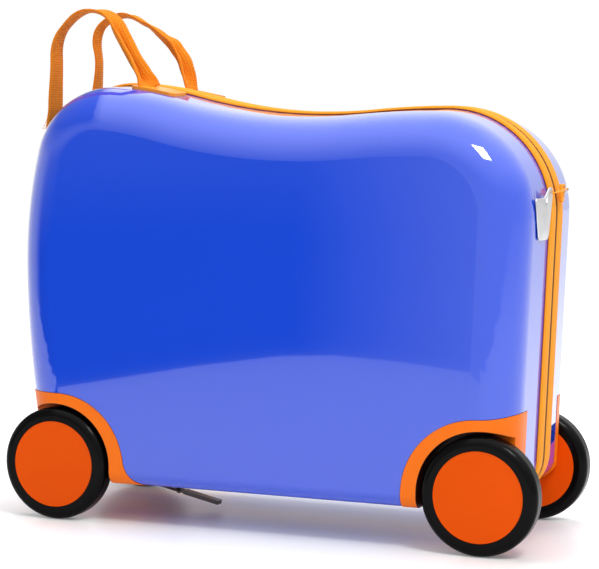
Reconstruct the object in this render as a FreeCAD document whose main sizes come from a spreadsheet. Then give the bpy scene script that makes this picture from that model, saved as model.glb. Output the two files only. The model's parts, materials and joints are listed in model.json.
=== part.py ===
"""Ride-on suitcase for a child.

Two moulded half shells meet at a seam in the plane Y = 0. A zip closes the
seam round both ends and the top, and a strip of tape hinges it underneath.
Each half carries two wheels in arched housings and one webbing grab strap.
X runs along the case with the straps at the front (-X), Y runs across it and
Z is up. The origin is on the ground, midway between the four wheels.
"""

import FreeCAD
import Part
import Sketcher
import math
import os

Vector = FreeCAD.Vector
Rotation = FreeCAD.Rotation
Placement = FreeCAD.Placement

# Driving sizes, in millimetres and degrees.
SIZES = {
    # Wheels and axles
    "wheel_diameter": 95.0,
    "wheel_width": 22.0,
    "tyre_shoulder": 6.5,
    "hub_diameter": 73.0,
    "hub_rim": 5.0,
    "hub_web": 3.0,
    "cap_thickness": 2.5,
    "cap_spigot": 3.0,
    "wheelbase": 372.0,
    "wheel_track": 190.0,
    "axle_diameter": 8.0,
    "axle_head_diameter": 15.0,
    "axle_head_height": 3.5,
    "axle_tail": 1.0,
    "bush_wall": 2.0,
    "boss_wall": 3.5,
    "nut_diameter": 15.0,
    "nut_height": 6.0,
    "washer_diameter": 18.0,
    "washer_thickness": 1.2,
    # Half shells
    "case_depth": 184.0,
    "wall": 3.0,
    "seam_gap": 0.3,
    "draft": 3.0,
    "edge_radius": 36.0,
    "sill_radius": 11.0,
    "underside_height": 33.5,
    "bottom_radius": 36.0,
    "tail_end": 220.5,
    "tail_height": 351.0,
    "tail_top_radius": 85.0,
    "tail_lean": 1.9,
    "saddle_place": 25.0,
    "saddle_height": 345.5,
    "saddle_radius": 460.0,
    "hump_height": 369.5,
    "hump_radius": 305.0,
    "front_top_radius": 72.0,
    "front_end": 230.3,
    "bow_height": 220.0,
    "upper_bow_radius": 400.0,
    "lower_bow_radius": 800.0,
    "lining_thickness": 1.0,
    # Wheel housings
    "arch_gap": 3.5,
    "cup_wall": 3.0,
    "plate_gap": 2.5,
    "plate_thickness": 3.0,
    "lip_width": 8.0,
    "lip_shift": 2.0,
    "lip_reach": 50.0,
    "lip_thickness": 2.0,
    "lip_proud": 0.4,
    "lip_groove": 0.5,
    "lip_rise_radius": 104.0,
    "lip_flare_radius": 24.0,
    "screw_diameter": 3.0,
    "screw_head_diameter": 6.0,
    "screw_head_height": 1.8,
    # Zip, tape hinge and their trim
    "trim": 2.5,
    "tape_width": 19.0,
    "teeth_width": 2.2,
    "teeth_height": 1.4,
    "hinge_length": 224.0,
    "hinge_bead_radius": 1.2,
    "slider_length": 15.0,
    "slider_width": 10.0,
    "slider_thickness": 2.6,
    "lug_width": 3.0,
    "lug_radius": 3.0,
    "pin_diameter": 2.0,
    "tail_slider_height": 286.0,
    "tail_pull_drop": 7.0,
    "tail_pull_offset": 6.0,
    "tail_pull_lift": 0.6,
    "tail_pull_tilt": 5.0,
    "tail_pull_length": 33.0,
    "tail_pull_top_width": 36.0,
    "tail_pull_foot_width": 24.0,
    "tail_pull_edge": 1.5,
    "tail_pull_ridge": 4.5,
    "tail_pull_foot_ridge": 3.5,
    "tail_pull_ear": 8.0,
    "front_slider_place": 148.0,
    "front_slider_offset": 6.5,
    "front_lug_drop": 4.0,
    "link_length": 34.0,
    "link_width": 9.0,
    "link_wire": 2.4,
    "link_droop": 12.0,
    "bar_length": 34.0,
    "bar_width": 8.0,
    "bar_thickness": 3.6,
    # Grab straps
    "strap_spacing": 84.0,
    "strap_width": 25.0,
    "strap_thickness": 2.2,
    "strap_top": 434.0,
    "strap_leg_place": 219.0,
    "near_strap_front_radius": 41.5,
    "near_strap_rear_radius": 28.0,
    "near_strap_foot_place": 129.0,
    "far_strap_front_radius": 34.0,
    "far_strap_rear_radius": 59.0,
    "far_strap_foot_place": 125.0,
    "tab_length": 40.0,
    "tab_width": 30.0,
    "tab_corner": 5.0,
    "top_tab_place": 114.0,
    "end_tab_height": 296.0,
    "rivet_diameter": 4.0,
    "rivet_head_diameter": 9.0,
    "rivet_head_height": 1.5,
    "rivet_pitch": 18.0,
    # Clearances
    "fit_gap": 0.1,
    "running_gap": 0.3,
}

# How far the tall outline runs below the ground, and how far cutters overrun.
OVERRUN = 40.0

# How closely an edge must lie on a plane to count as being on it.
TOLERANCE = 0.01

doc = FreeCAD.newDocument("RideOnSuitcase")
sheet = doc.addObject("Spreadsheet::Sheet", "Sizes")
for row, (alias, value) in enumerate(SIZES.items(), start=1):
    sheet.set(f"A{row}", alias)
    sheet.set(f"B{row}", str(value))
    sheet.setAlias(f"B{row}", alias)
doc.recompute()

nodes = []


def size(name):
    """Read one driving size back from the sheet."""
    return float(getattr(sheet, name))


def bind(item, **expressions):
    """Bind properties of a document object to expressions over the sheet."""
    for name, text in expressions.items():
        item.setExpression(name, text)
    return item


def place(item, x="0", y="0", z="0"):
    """Bind the base of an object's placement."""
    item.setExpression("Placement.Base.x", x)
    item.setExpression("Placement.Base.y", y)
    item.setExpression("Placement.Base.z", z)
    return item


def node(item, label):
    """Register a finished sub-part under the name of its file."""
    item.Label = label
    nodes.append(item)
    return item


# Primitives and booleans

ALONG = {
    "+X": Rotation(Vector(0, 1, 0), 90),
    "+Y": Rotation(Vector(1, 0, 0), -90),
    "-Y": Rotation(Vector(1, 0, 0), 90),
    "+Z": Rotation(),
}


def block(name, length, width, height, x, y, z):
    """A box with its low corner at x, y, z."""
    item = doc.addObject("Part::Box", name)
    bind(item, Length=length, Width=width, Height=height)
    return place(item, x, y, z)


def rod(name, radius, height, x="0", y="0", z="0", along="+Y"):
    """A cylinder that starts at x, y, z and runs along an axis."""
    item = doc.addObject("Part::Cylinder", name)
    bind(item, Radius=radius, Height=height)
    item.Placement = Placement(Vector(), ALONG[along])
    return place(item, x, y, z)


def fuse(name, *parts):
    """Join solids into one."""
    item = doc.addObject("Part::MultiFuse", name)
    item.Shapes = list(parts)
    item.Refine = True
    return item


def gather(name, *parts):
    """Keep separate solids together as one compound."""
    item = doc.addObject("Part::Compound", name)
    item.Links = list(parts)
    return item


def common(name, *parts):
    """Keep what all the solids share."""
    item = doc.addObject("Part::MultiCommon", name)
    item.Shapes = list(parts)
    return item


def cut(name, base, *tools):
    """Take tools away from a solid."""
    item = doc.addObject("Part::Cut", name)
    item.Base = base
    item.Tool = tools[0] if len(tools) == 1 else fuse(name + "_tools", *tools)
    return item


def across(name, source):
    """The far side's twin of a near-side object."""
    item = doc.addObject("Part::Mirroring", name)
    item.Source = source
    item.Normal = Vector(0, 1, 0)
    return item


def round_edges(name, base, radius, chosen):
    """Round the edges of a solid that the test chosen accepts."""
    doc.recompute()
    numbers = [i for i, edge in enumerate(base.Shape.Edges, start=1) if chosen(edge)]
    item = doc.addObject("Part::Fillet", name)
    item.Base = base
    item.Edges = [(i, radius, radius) for i in numbers]
    return item


# Case form: the outline at the seam, its draft and its rounded edges


def outline_arcs(grow):
    """Centre, radius and end angles of the arcs above the bottom corners.

    All centres stay put when the outline grows, and only the radii change.
    """
    saddle_radius = size("saddle_radius")
    saddle = Vector(size("saddle_place"), size("saddle_height") + saddle_radius)
    tail_radius = size("tail_top_radius")
    tail = Vector(size("tail_end") - tail_radius, size("tail_height") - tail_radius)

    # Rear hump: from the top of the tail corner, tangent to the saddle.
    reach = tail.x - saddle.x
    drop = saddle.y - size("tail_height")
    rear_radius = (reach**2 + drop**2 - saddle_radius**2) / (2 * (saddle_radius - drop))
    rear = Vector(tail.x, size("tail_height") - rear_radius)

    # Front hump: tangent to the saddle at its own height.
    hump_radius = size("hump_radius")
    hump_z = size("hump_height") - hump_radius
    span = hump_radius + saddle_radius
    hump = Vector(saddle.x - math.sqrt(span**2 - (saddle.y - hump_z) ** 2), hump_z)

    # Front end: two bowed arcs that meet at the widest height.
    upper_radius = size("upper_bow_radius")
    lower_radius = size("lower_bow_radius")
    upper = Vector(upper_radius - size("front_end"), size("bow_height"))
    lower = Vector(lower_radius - size("front_end"), size("bow_height"))

    # Front top corner: touches the front hump and the upper bow from inside.
    corner_radius = size("front_top_radius")
    corner = inner_touch(hump, hump_radius, upper, upper_radius, corner_radius)

    return {
        "tail": (tail, tail_radius + grow, -tail_lean(), math.pi / 2),
        "rear": (rear, rear_radius + grow, math.pi / 2, heading(rear, saddle)),
        "saddle": (saddle, saddle_radius - grow, heading(saddle, hump), heading(saddle, rear)),
        "hump": (hump, hump_radius + grow, heading(hump, saddle), heading(hump, corner)),
        "corner": (corner, corner_radius + grow, heading(hump, corner), heading(upper, corner)),
        "upper": (upper, upper_radius + grow, heading(upper, corner), math.pi),
        "lower": (lower, lower_radius + grow, math.pi, None),
    }


def tail_lean():
    """Angle by which the tail wall falls inwards on its way down."""
    return math.radians(size("tail_lean"))


def heading(start, end):
    """Angle of the line from one centre to another, from 0 to a full turn."""
    return math.atan2(end.y - start.y, end.x - start.x) % (2 * math.pi)


def inner_touch(first, first_radius, second, second_radius, radius):
    """Centre of the upper left arc that touches two larger arcs from inside."""
    first_reach = first_radius - radius
    second_reach = second_radius - radius
    apart = second - first
    along = (first_reach**2 - second_reach**2 + apart.Length**2) / (2 * apart.Length)
    aside = math.sqrt(first_reach**2 - along**2)
    unit = apart / apart.Length
    return first + unit * along + Vector(-unit.y, unit.x) * aside


def tangent(sketch, first, first_end, second, second_end):
    """Join two pieces of an outline smoothly at the ends given."""
    sketch.addConstraint(Sketcher.Constraint("Tangent", first, first_end, second, second_end))


def dimension(sketch, kind, *where, seed, text):
    """Add a dimension to a sketch and bind it."""
    number = sketch.addConstraint(Sketcher.Constraint(kind, *where, seed))
    sketch.setExpression(f"Constraints[{number}]", text)


START, END, CENTRE, ORIGIN = 1, 2, 3, -1


def case_outline(name, grow, grow_text, tall):
    """Seam outline on the near side of the seam plane, drawn in X and Z.

    The true outline has rounded bottom corners. The tall one runs on below
    the ground instead, so that its edge rounding ends clear of the case.
    """
    arcs = outline_arcs(grow)
    underside = size("underside_height") - grow
    tail_centre, tail_radius, _, _ = arcs["tail"]
    lean = tail_lean()
    wall_out = Vector(math.cos(lean), -math.sin(lean))
    wall_top = tail_centre + wall_out * tail_radius
    floor = -OVERRUN if tall else underside
    lower_centre, lower_radius, lower_start, _ = arcs["lower"]
    bottom_radius = size("bottom_radius")
    if tall:
        lower_stop = math.pi + math.asin((lower_centre.y - floor) / lower_radius)
        foot = Vector(lower_centre.x + lower_radius * math.cos(lower_stop), floor)
        toe = Vector(wall_top.x - (wall_top.y - floor) * math.tan(lean), floor)
        heel = toe
    else:
        front_z = size("underside_height") + bottom_radius
        inner = size("lower_bow_radius") - bottom_radius
        front_x = lower_centre.x - math.sqrt(inner**2 - (lower_centre.y - front_z) ** 2)
        front_bottom = Vector(front_x, front_z)
        tail_fall = (tail_centre.y - front_z) * math.sin(lean)
        tail_reach = (size("tail_top_radius") - bottom_radius - tail_fall) / math.cos(lean)
        tail_bottom = Vector(tail_centre.x + tail_reach, front_z)
        lower_stop = heading(lower_centre, front_bottom)
        foot = Vector(front_bottom.x, underside)
        toe = Vector(tail_bottom.x, underside)
        heel = tail_bottom + wall_out * (bottom_radius + grow)

    sketch = doc.addObject("Sketcher::SketchObject", name)
    sketch.Placement = Placement(Vector(), ALONG["-Y"])
    place(sketch, y="-Sizes.seam_gap / 2")

    def arc(centre, radius, start, stop):
        circle = Part.Circle(centre, Vector(0, 0, 1), radius)
        return sketch.addGeometry(Part.ArcOfCircle(circle, start, stop))

    bottom = sketch.addGeometry(Part.LineSegment(foot, toe))
    wall = sketch.addGeometry(Part.LineSegment(heel, wall_top))
    tail = arc(*arcs["tail"])
    rear = arc(*arcs["rear"])
    saddle = arc(*arcs["saddle"])
    hump = arc(*arcs["hump"])
    corner = arc(*arcs["corner"])
    upper = arc(*arcs["upper"])
    lower = arc(lower_centre, lower_radius, lower_start, lower_stop)

    tangent(sketch, wall, END, tail, START)
    tangent(sketch, tail, END, rear, START)
    tangent(sketch, rear, END, saddle, END)
    tangent(sketch, saddle, START, hump, START)
    tangent(sketch, hump, END, corner, START)
    tangent(sketch, corner, END, upper, START)
    tangent(sketch, upper, END, lower, START)
    if tall:
        sketch.addConstraint(Sketcher.Constraint("Coincident", lower, END, bottom, START))
        sketch.addConstraint(Sketcher.Constraint("Coincident", bottom, END, wall, START))
    else:
        tail_corner = arc(tail_bottom, bottom_radius + grow, 1.5 * math.pi, 2 * math.pi - lean)
        front_corner = arc(front_bottom, bottom_radius + grow, lower_stop, 1.5 * math.pi)
        tangent(sketch, bottom, END, tail_corner, START)
        tangent(sketch, tail_corner, END, wall, START)
        tangent(sketch, lower, END, front_corner, START)
        tangent(sketch, front_corner, END, bottom, START)
        for item in (tail_corner, front_corner):
            radius_text = f"Sizes.bottom_radius + {grow_text}"
            dimension(sketch, "Radius", item, seed=bottom_radius + grow, text=radius_text)

    sketch.addConstraint(Sketcher.Constraint("Horizontal", bottom))
    wall_angle = math.pi / 2 - lean
    dimension(sketch, "Angle", wall, seed=wall_angle, text="(90 - Sizes.tail_lean) * 1 deg")
    sketch.addConstraint(Sketcher.Constraint("Vertical", tail, CENTRE, tail, END))
    sketch.addConstraint(Sketcher.Constraint("Horizontal", upper, CENTRE, upper, END))

    floor_text = f"-{OVERRUN}" if tall else f"Sizes.underside_height - ({grow_text})"
    level = (ORIGIN, START)
    dimension(sketch, "DistanceY", *level, bottom, START, seed=floor, text=floor_text)

    grown = {
        tail: ("tail", "Sizes.tail_top_radius + "),
        saddle: ("saddle", "Sizes.saddle_radius - "),
        hump: ("hump", "Sizes.hump_radius + "),
        corner: ("corner", "Sizes.front_top_radius + "),
        upper: ("upper", "Sizes.upper_bow_radius + "),
        lower: ("lower", "Sizes.lower_bow_radius + "),
    }
    for item, (key, text) in grown.items():
        dimension(sketch, "Radius", item, seed=arcs[key][1], text=f"{text}({grow_text})")

    centres = (
        ("DistanceX", tail, tail_centre.x, "Sizes.tail_end - Sizes.tail_top_radius"),
        ("DistanceY", tail, tail_centre.y, "Sizes.tail_height - Sizes.tail_top_radius"),
        ("DistanceX", saddle, arcs["saddle"][0].x, "Sizes.saddle_place"),
        ("DistanceY", saddle, arcs["saddle"][0].y, "Sizes.saddle_height + Sizes.saddle_radius"),
        ("DistanceY", hump, arcs["hump"][0].y, "Sizes.hump_height - Sizes.hump_radius"),
        ("DistanceX", upper, arcs["upper"][0].x, "Sizes.upper_bow_radius - Sizes.front_end"),
        ("DistanceY", upper, arcs["upper"][0].y, "Sizes.bow_height"),
    )
    for kind, item, seed, text in centres:
        dimension(sketch, kind, *level, item, CENTRE, seed=seed, text=text)
    return sketch


HALF = "Sizes.case_depth / 2 - Sizes.seam_gap / 2"


def half_form(name, grow, grow_text):
    """Solid of one half of the case, grown by an allowance on every face.

    It is the true outline's prism, cut down to the drafted form with rounded
    ends and top, and to the smaller rounding along the sill.
    """
    prism = doc.addObject("Part::Extrusion", name + "_prism")
    prism.Base = case_outline(name + "_outline", grow, grow_text, False)
    drafted = doc.addObject("Part::Extrusion", name + "_drafted")
    drafted.Base = case_outline(name + "_tall_outline", grow, grow_text, True)
    for item in (prism, drafted):
        item.DirMode = "Normal"
        item.Solid = True
        bind(item, LengthFwd=f"{HALF} + {grow_text}")
    bind(drafted, TaperAngle="-Sizes.draft")

    front = -(size("case_depth") / 2 + grow)

    def on_front(edge):
        box = edge.BoundBox
        flat = abs(box.YMin - front) < TOLERANCE and abs(box.YMax - front) < TOLERANCE
        return flat and box.ZMax > 0

    rounded = round_edges(name + "_rounded", drafted, size("edge_radius") + grow, on_front)

    reach = size("front_end") + size("tail_end")
    slab = block(
        name + "_slab",
        f"{2 * reach}",
        f"{HALF} + {grow_text}",
        f"{2 * size('hump_height')}",
        f"-{reach}",
        f"-Sizes.case_depth / 2 - ({grow_text})",
        f"Sizes.underside_height - ({grow_text})",
    )
    sill = size("underside_height") - grow

    def on_sill(edge):
        box = edge.BoundBox
        return abs(box.ZMax - sill) < TOLERANCE and abs(box.YMax - front) < TOLERANCE

    silled = round_edges(name + "_silled", slab, size("sill_radius") + grow, on_sill)
    return common(name, prism, rounded, silled)


outer = half_form("outer_form", 0.0, "0")
inner = half_form("inner_form", -size("wall"), "-Sizes.wall")
trim = half_form("trim_form", size("trim"), "Sizes.trim")
lining_gap = size("wall") + size("running_gap")
lining_outer = half_form(
    "lining_outer", -lining_gap, "-(Sizes.wall + Sizes.running_gap)"
)
lining_inner = half_form(
    "lining_inner",
    -lining_gap - size("lining_thickness"),
    "-(Sizes.wall + Sizes.running_gap + Sizes.lining_thickness)",
)
layer = cut("trim_layer", trim, outer)
lip_depth = size("lip_thickness") - size("lip_proud")
lip_top = half_form("lip_top", size("lip_proud"), "Sizes.lip_proud")
lip_seat = half_form("lip_seat", -lip_depth, "-(Sizes.lip_thickness - Sizes.lip_proud)")
lip_layer = cut("lip_layer", lip_top, lip_seat)


# Named places that several sub-parts share

AXLE_Z = "Sizes.wheel_diameter / 2"
ARCH = "Sizes.wheel_diameter / 2 + Sizes.arch_gap"
PLATE = "Sizes.wheel_track / 2 - Sizes.wheel_width - Sizes.plate_gap"
PLATE_BACK = f"{PLATE} - Sizes.plate_thickness"
LIP = f"{ARCH} + Sizes.cup_wall + Sizes.lip_width"
OUTWARD = "Sizes.wheel_track / 2"
ENDS = {"front": -1, "tail": 1}
SIDES = {"near": -1, "far": 1}


def axle_x(end):
    """Place of an end's axle along the case."""
    return f"{ENDS[end]} * Sizes.wheelbase / 2"


# Wheel housings


def arch(name, end, radius, back):
    """Arched space about a near wheel, open downwards, from depth back outwards."""
    x = axle_x(end)
    drum = rod(name + "_drum", radius, OUTWARD, x, f"-({back})", AXLE_Z, "-Y")
    legs = block(
        name + "_legs",
        f"2 * ({radius})",
        OUTWARD,
        f"{AXLE_Z} + {OVERRUN}",
        f"{x} - ({radius})",
        f"-({back}) - {OUTWARD}",
        f"-{OVERRUN}",
    )
    return fuse(name, drum, legs)


def lip_region(name, end, margin):
    """Space that the coloured lip of a housing fills, grown all round by a margin.

    Seen from the side, a round crown stands over the arch. At the tail its top
    sweeps up to the end wall. At the front it runs level and flares out at the
    foot.
    """
    inward = -ENDS[end]
    x = f"{axle_x(end)} + {inward} * Sizes.lip_shift"
    z = f"{AXLE_Z} - Sizes.lip_shift"
    y = f"-(Sizes.lip_reach - {margin})"
    low_y = f"{y} - {OUTWARD}"
    radius = f"({LIP} + {margin})"
    crown = rod(name + "_crown", radius, OUTWARD, x, y, z, "-Y")
    legs = block(
        name + "_legs", f"2 * {radius}", OUTWARD, f"{z} + {OVERRUN}", f"{x} - {radius}", low_y, f"-{OVERRUN}"
    )
    reach = f"{LIP} + {OVERRUN}"
    if end == "tail":
        rise = "Sizes.lip_rise_radius"
        end_block = block(name + "_end", reach, OUTWARD, reach, x, low_y, z)
        sweep = rod(
            name + "_sweep", f"{rise} - {margin}", OUTWARD, x, y, f"{z} + {LIP} + {rise}", "-Y"
        )
        return fuse(name, crown, legs, cut(name + "_rise", end_block, sweep))
    level = block(name + "_end", reach, OUTWARD, radius, f"{x} - ({reach})", low_y, z)
    flare = "Sizes.lip_flare_radius"
    foot_z = "Sizes.underside_height - Sizes.lip_proud"
    apart = f"{foot_z} + {flare} - ({z})"
    span = f"sqrt(({LIP} + {flare})^2 - ({apart})^2)"
    foot = block(name + "_foot", span, OUTWARD, f"{flare} + {margin}", x, low_y, f"{foot_z} - {margin}")
    hollow = rod(
        name + "_hollow", f"{flare} - {margin}", OUTWARD, f"{x} + {span}", y, f"{foot_z} + {flare}", "-Y"
    )
    return fuse(name, crown, legs, level, cut(name + "_flare", foot, hollow))


SCREW_ANGLES = (118.0, 146.0, 174.0)
SCREW_CIRCLE = f"{ARCH} + Sizes.cup_wall + Sizes.lip_width / 2"
SCREW_TIP = "Sizes.case_depth / 2 + Sizes.lip_proud - Sizes.lip_thickness / 2"
INSIDE = "Sizes.case_depth / 2 - Sizes.wall"


def screw_spots(end):
    """Expressions for the places of one housing's screws round its arch."""
    for angle in SCREW_ANGLES:
        along = ENDS[end] * math.cos(math.radians(angle))
        up = math.sin(math.radians(angle))
        yield f"{axle_x(end)} + {along} * ({SCREW_CIRCLE})", f"{AXLE_Z} + {up} * ({SCREW_CIRCLE})"


def screw_rods(name, end, radius, start, length):
    """One rod per screw of a housing, running outwards from depth start."""
    return [
        rod(f"{name}_{number}", radius, length, x, f"-({start})", z, "-Y")
        for number, (x, z) in enumerate(screw_spots(end), start=1)
    ]


SHANK = "Sizes.screw_diameter / 2"
SHANK_LENGTH = f"{SCREW_TIP} - ({INSIDE})"
screw_holes = {}
screws = []
housings = {}
for end in ENDS:
    screw_holes[end] = screw_rods(
        f"{end}_screw_hole", end, f"{SHANK} + Sizes.fit_gap",
        f"{INSIDE} - Sizes.running_gap", f"{SHANK_LENGTH} + 2 * Sizes.running_gap",
    )
    screws += screw_rods(f"{end}_screw_shank", end, SHANK, INSIDE, SHANK_LENGTH)
    screws += screw_rods(
        f"{end}_screw_head", end, "Sizes.screw_head_diameter / 2",
        f"{INSIDE} - Sizes.screw_head_height", "Sizes.screw_head_height",
    )
    lip = cut(
        f"{end}_lip",
        common(f"{end}_lip_skin", lip_layer, lip_region(f"{end}_lip_region", end, "0")),
        arch(f"{end}_lip_arch", end, ARCH, PLATE),
    )
    cup_arch = arch(f"{end}_cup_arch", end, f"{ARCH} + Sizes.cup_wall", PLATE_BACK)
    cup = cut(
        f"{end}_cup",
        common(f"{end}_cup_solid", outer, cup_arch),
        arch(f"{end}_cup_space", end, ARCH, PLATE),
    )
    boss = rod(
        f"{end}_boss", "Sizes.axle_diameter / 2 + Sizes.boss_wall",
        "Sizes.plate_gap - Sizes.running_gap", axle_x(end), f"-({PLATE})", AXLE_Z, "-Y",
    )
    bore = rod(
        f"{end}_bore", "Sizes.axle_diameter / 2 + Sizes.fit_gap", OUTWARD,
        axle_x(end), f"-({PLATE_BACK}) + Sizes.plate_thickness", AXLE_Z, "-Y",
    )
    solid = fuse(f"{end}_housing_solid", lip, cup, boss)
    housings[end] = cut(f"wheel_housing_{end}_near", solid, bore, *screw_holes[end])
    node(housings[end], f"wheel_housing_{end}_near")
    node(across(f"wheel_housing_{end}_far", housings[end]), f"wheel_housing_{end}_far")


# Strap tabs and their rivets


def crest(x):
    """Height of the shell's top over the front hump, at the strap's place across."""
    centre, radius, _, _ = outline_arcs(0.0)["hump"]
    fall = size("strap_spacing") / 2 * math.tan(math.radians(size("draft")))
    return centre.y + math.sqrt(radius**2 - (x - centre.x) ** 2) - fall


def brow(z):
    """Place of the front wall over the upper bow, at the strap's place across."""
    centre, radius, _, _ = outline_arcs(0.0)["upper"]
    fall = size("strap_spacing") / 2 * math.tan(math.radians(size("draft")))
    return centre.x - math.sqrt(radius**2 - (z - centre.y) ** 2) + fall


STRAP_Y = "-Sizes.strap_spacing / 2"
RIVET = "Sizes.rivet_diameter / 2"
RIVET_HEAD = "Sizes.rivet_head_diameter / 2"
SKIN = "Sizes.wall + Sizes.trim / 2"


def tab_block(name, length, height, x, z, upright):
    """Block with four rounded corners that marks out a tab on the trim layer."""
    solid = block(
        name + "_block", length, "Sizes.tab_width", height, x, f"{STRAP_Y} - Sizes.tab_width / 2", z
    )
    axis = 2 if upright else 0

    def is_corner(edge):
        ends = edge.Vertexes[1].Point - edge.Vertexes[0].Point
        return ends.Length - abs(ends[axis]) < TOLERANCE

    return round_edges(name + "_marker", solid, size("tab_corner"), is_corner)


top_tab_x = -size("top_tab_place")
end_tab_z = size("end_tab_height")
top_marker = tab_block(
    "top_tab", "Sizes.tab_length", f"{OVERRUN}",
    "-Sizes.top_tab_place - Sizes.tab_length / 2", f"{crest(top_tab_x) - OVERRUN / 2}", True,
)
end_marker = tab_block(
    "end_tab", f"{OVERRUN}", "Sizes.tab_length",
    f"{brow(end_tab_z) - OVERRUN / 2}", "Sizes.end_tab_height - Sizes.tab_length / 2", False,
)
rivet_holes = []
rivets = []
lining_holes = []
for step in (-0.5, 0.5):
    tag = "front" if step < 0 else "rear"
    x = f"-Sizes.top_tab_place + {step} * Sizes.rivet_pitch"
    top = crest(top_tab_x + step * size("rivet_pitch"))
    spot = (x, STRAP_Y, f"{top} - Sizes.wall")
    rivet_holes.append(rod(f"top_hole_{tag}", f"{RIVET} + Sizes.fit_gap", SKIN, *spot, "+Z"))
    rivets.append(rod(f"top_shank_{tag}", RIVET, SKIN, *spot, "+Z"))
    head_low = (x, STRAP_Y, f"{top} - Sizes.wall - Sizes.rivet_head_height")
    tall_head = rod(f"top_head_rod_{tag}", RIVET_HEAD, SKIN, *head_low, "+Z")
    rivets.append(common(f"top_head_{tag}", tall_head, inner))
    clear = f"{RIVET_HEAD} + Sizes.running_gap"
    clear_low = (x, STRAP_Y, f"{top - OVERRUN / 2}")
    lining_holes.append(rod(f"top_clear_{tag}", clear, f"{OVERRUN}", *clear_low, "+Z"))

    z = f"Sizes.end_tab_height + {step} * Sizes.rivet_pitch"
    face = brow(end_tab_z + step * size("rivet_pitch"))
    spot = (f"{face} - Sizes.trim / 2", STRAP_Y, z)
    rivet_holes.append(rod(f"end_hole_{tag}", f"{RIVET} + Sizes.fit_gap", SKIN, *spot, "+X"))
    rivets.append(rod(f"end_shank_{tag}", RIVET, SKIN, *spot, "+X"))
    head_length = f"{SKIN} + Sizes.rivet_head_height"
    head_rod = rod(f"end_head_rod_{tag}", RIVET_HEAD, head_length, *spot, "+X")
    rivets.append(common(f"end_head_{tag}", head_rod, inner))
    clear_low = (f"{face - OVERRUN / 2}", STRAP_Y, z)
    lining_holes.append(rod(f"end_clear_{tag}", clear, f"{OVERRUN}", *clear_low, "+X"))

for name, marker in (("top", top_marker), ("end", end_marker)):
    plate = common(f"{name}_tab_plate", layer, marker)
    near_tab = node(cut(f"strap_tab_{name}_near", plate, *rivet_holes), f"strap_tab_{name}_near")
    node(across(f"strap_tab_{name}_far", near_tab), f"strap_tab_{name}_far")


# Half shells and their linings

shell_cutters = []
lining_cutters = []
for end in ENDS:
    around = f"{ARCH} + Sizes.cup_wall + Sizes.fit_gap"
    shell_cutters.append(arch(f"{end}_shell_cutter", end, around, f"{PLATE_BACK} - Sizes.fit_gap"))
    rebate = lip_region(f"{end}_rebate_region", end, "Sizes.lip_groove")
    shell_cutters.append(cut(f"{end}_rebate", rebate, lip_seat))
    shell_cutters += screw_holes[end]
    nut_stack = "Sizes.washer_thickness + Sizes.nut_height + 2 * Sizes.axle_tail"
    nut_depth = f"{PLATE_BACK} - ({nut_stack})"
    nut_space = "Sizes.washer_diameter / 2 + Sizes.running_gap"
    shell_cutters.append(
        rod(f"{end}_nut_space", nut_space, nut_stack, axle_x(end), f"-({nut_depth})", AXLE_Z, "-Y")
    )
    lining_cutters.append(arch(f"{end}_lining_cutter", end, LIP, nut_depth))

near_shell = node(cut("near_shell", outer, inner, *shell_cutters, *rivet_holes), "near_shell")
node(across("far_shell", near_shell), "far_shell")
lining = cut("lining_near", lining_outer, lining_inner, *lining_cutters, *lining_holes)
node(lining, "lining_near")
node(across("lining_far", lining), "lining_far")

near_screws = node(gather("housing_screws_near", *screws), "housing_screws_near")
node(across("housing_screws_far", near_screws), "housing_screws_far")
near_rivets = node(gather("strap_rivets_near", *rivets), "strap_rivets_near")
node(across("strap_rivets_far", near_rivets), "strap_rivets_far")


# Zip tape, teeth and tape hinge

CASE_REACH = "Sizes.front_end + Sizes.tail_end"
TALL = "2 * Sizes.hump_height"


def seam_slab(name, inner_edge, outer_edge):
    """Slice of space beside the seam, between two distances from it."""
    return block(
        name, f"2 * ({CASE_REACH})", f"{outer_edge} - ({inner_edge})", TALL,
        f"-({CASE_REACH})", f"-({outer_edge})", "0",
    )


def hinge_zone(name, length, inner_edge):
    """Space under the case that the tape hinge takes instead of the zip."""
    return block(
        name, length, f"Sizes.tape_width - ({inner_edge})", "Sizes.underside_height + Sizes.trim",
        f"-({length}) / 2", "-Sizes.tape_width", "0",
    )


zip_gap = "Sizes.teeth_width + Sizes.running_gap"
tape = cut(
    "zip_tape_near",
    common("zip_band", layer, seam_slab("zip_slab", zip_gap, "Sizes.tape_width")),
    hinge_zone("hinge_zone", "Sizes.hinge_length", "0"),
)
node(tape, "zip_tape_near")
node(across("zip_tape_far", tape), "zip_tape_far")

teeth_prism = doc.addObject("Part::Extrusion", "teeth_prism")
teeth_prism.Base = case_outline("teeth_outline", size("teeth_height"), "Sizes.teeth_height", False)
teeth_prism.DirMode = "Normal"
teeth_prism.Solid = True
bind(teeth_prism, LengthFwd="Sizes.teeth_width - Sizes.seam_gap / 2")
teeth = cut("zip_teeth_near", teeth_prism, outer, hinge_zone("teeth_zone", "Sizes.hinge_length", "0"))
node(teeth, "zip_teeth_near")
node(across("zip_teeth_far", teeth), "zip_teeth_far")

strip_length = "Sizes.hinge_length - 2 * Sizes.running_gap"
bead_edge = "Sizes.hinge_bead_radius + Sizes.running_gap"
near_strip = common("hinge_tape_near", layer, hinge_zone("near_strip_zone", strip_length, bead_edge))
node(near_strip, "hinge_tape_near")
far_strip = across(
    "hinge_far_strip", common("far_strip", layer, hinge_zone("far_strip_zone", strip_length, "0"))
)
bead = rod(
    "hinge_bead", "Sizes.hinge_bead_radius", strip_length,
    f"-({strip_length}) / 2", "0", "Sizes.underside_height - Sizes.trim", "+X",
)
node(fuse("hinge_tape_far", far_strip, bead), "hinge_tape_far")


# Turned pieces


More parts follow.
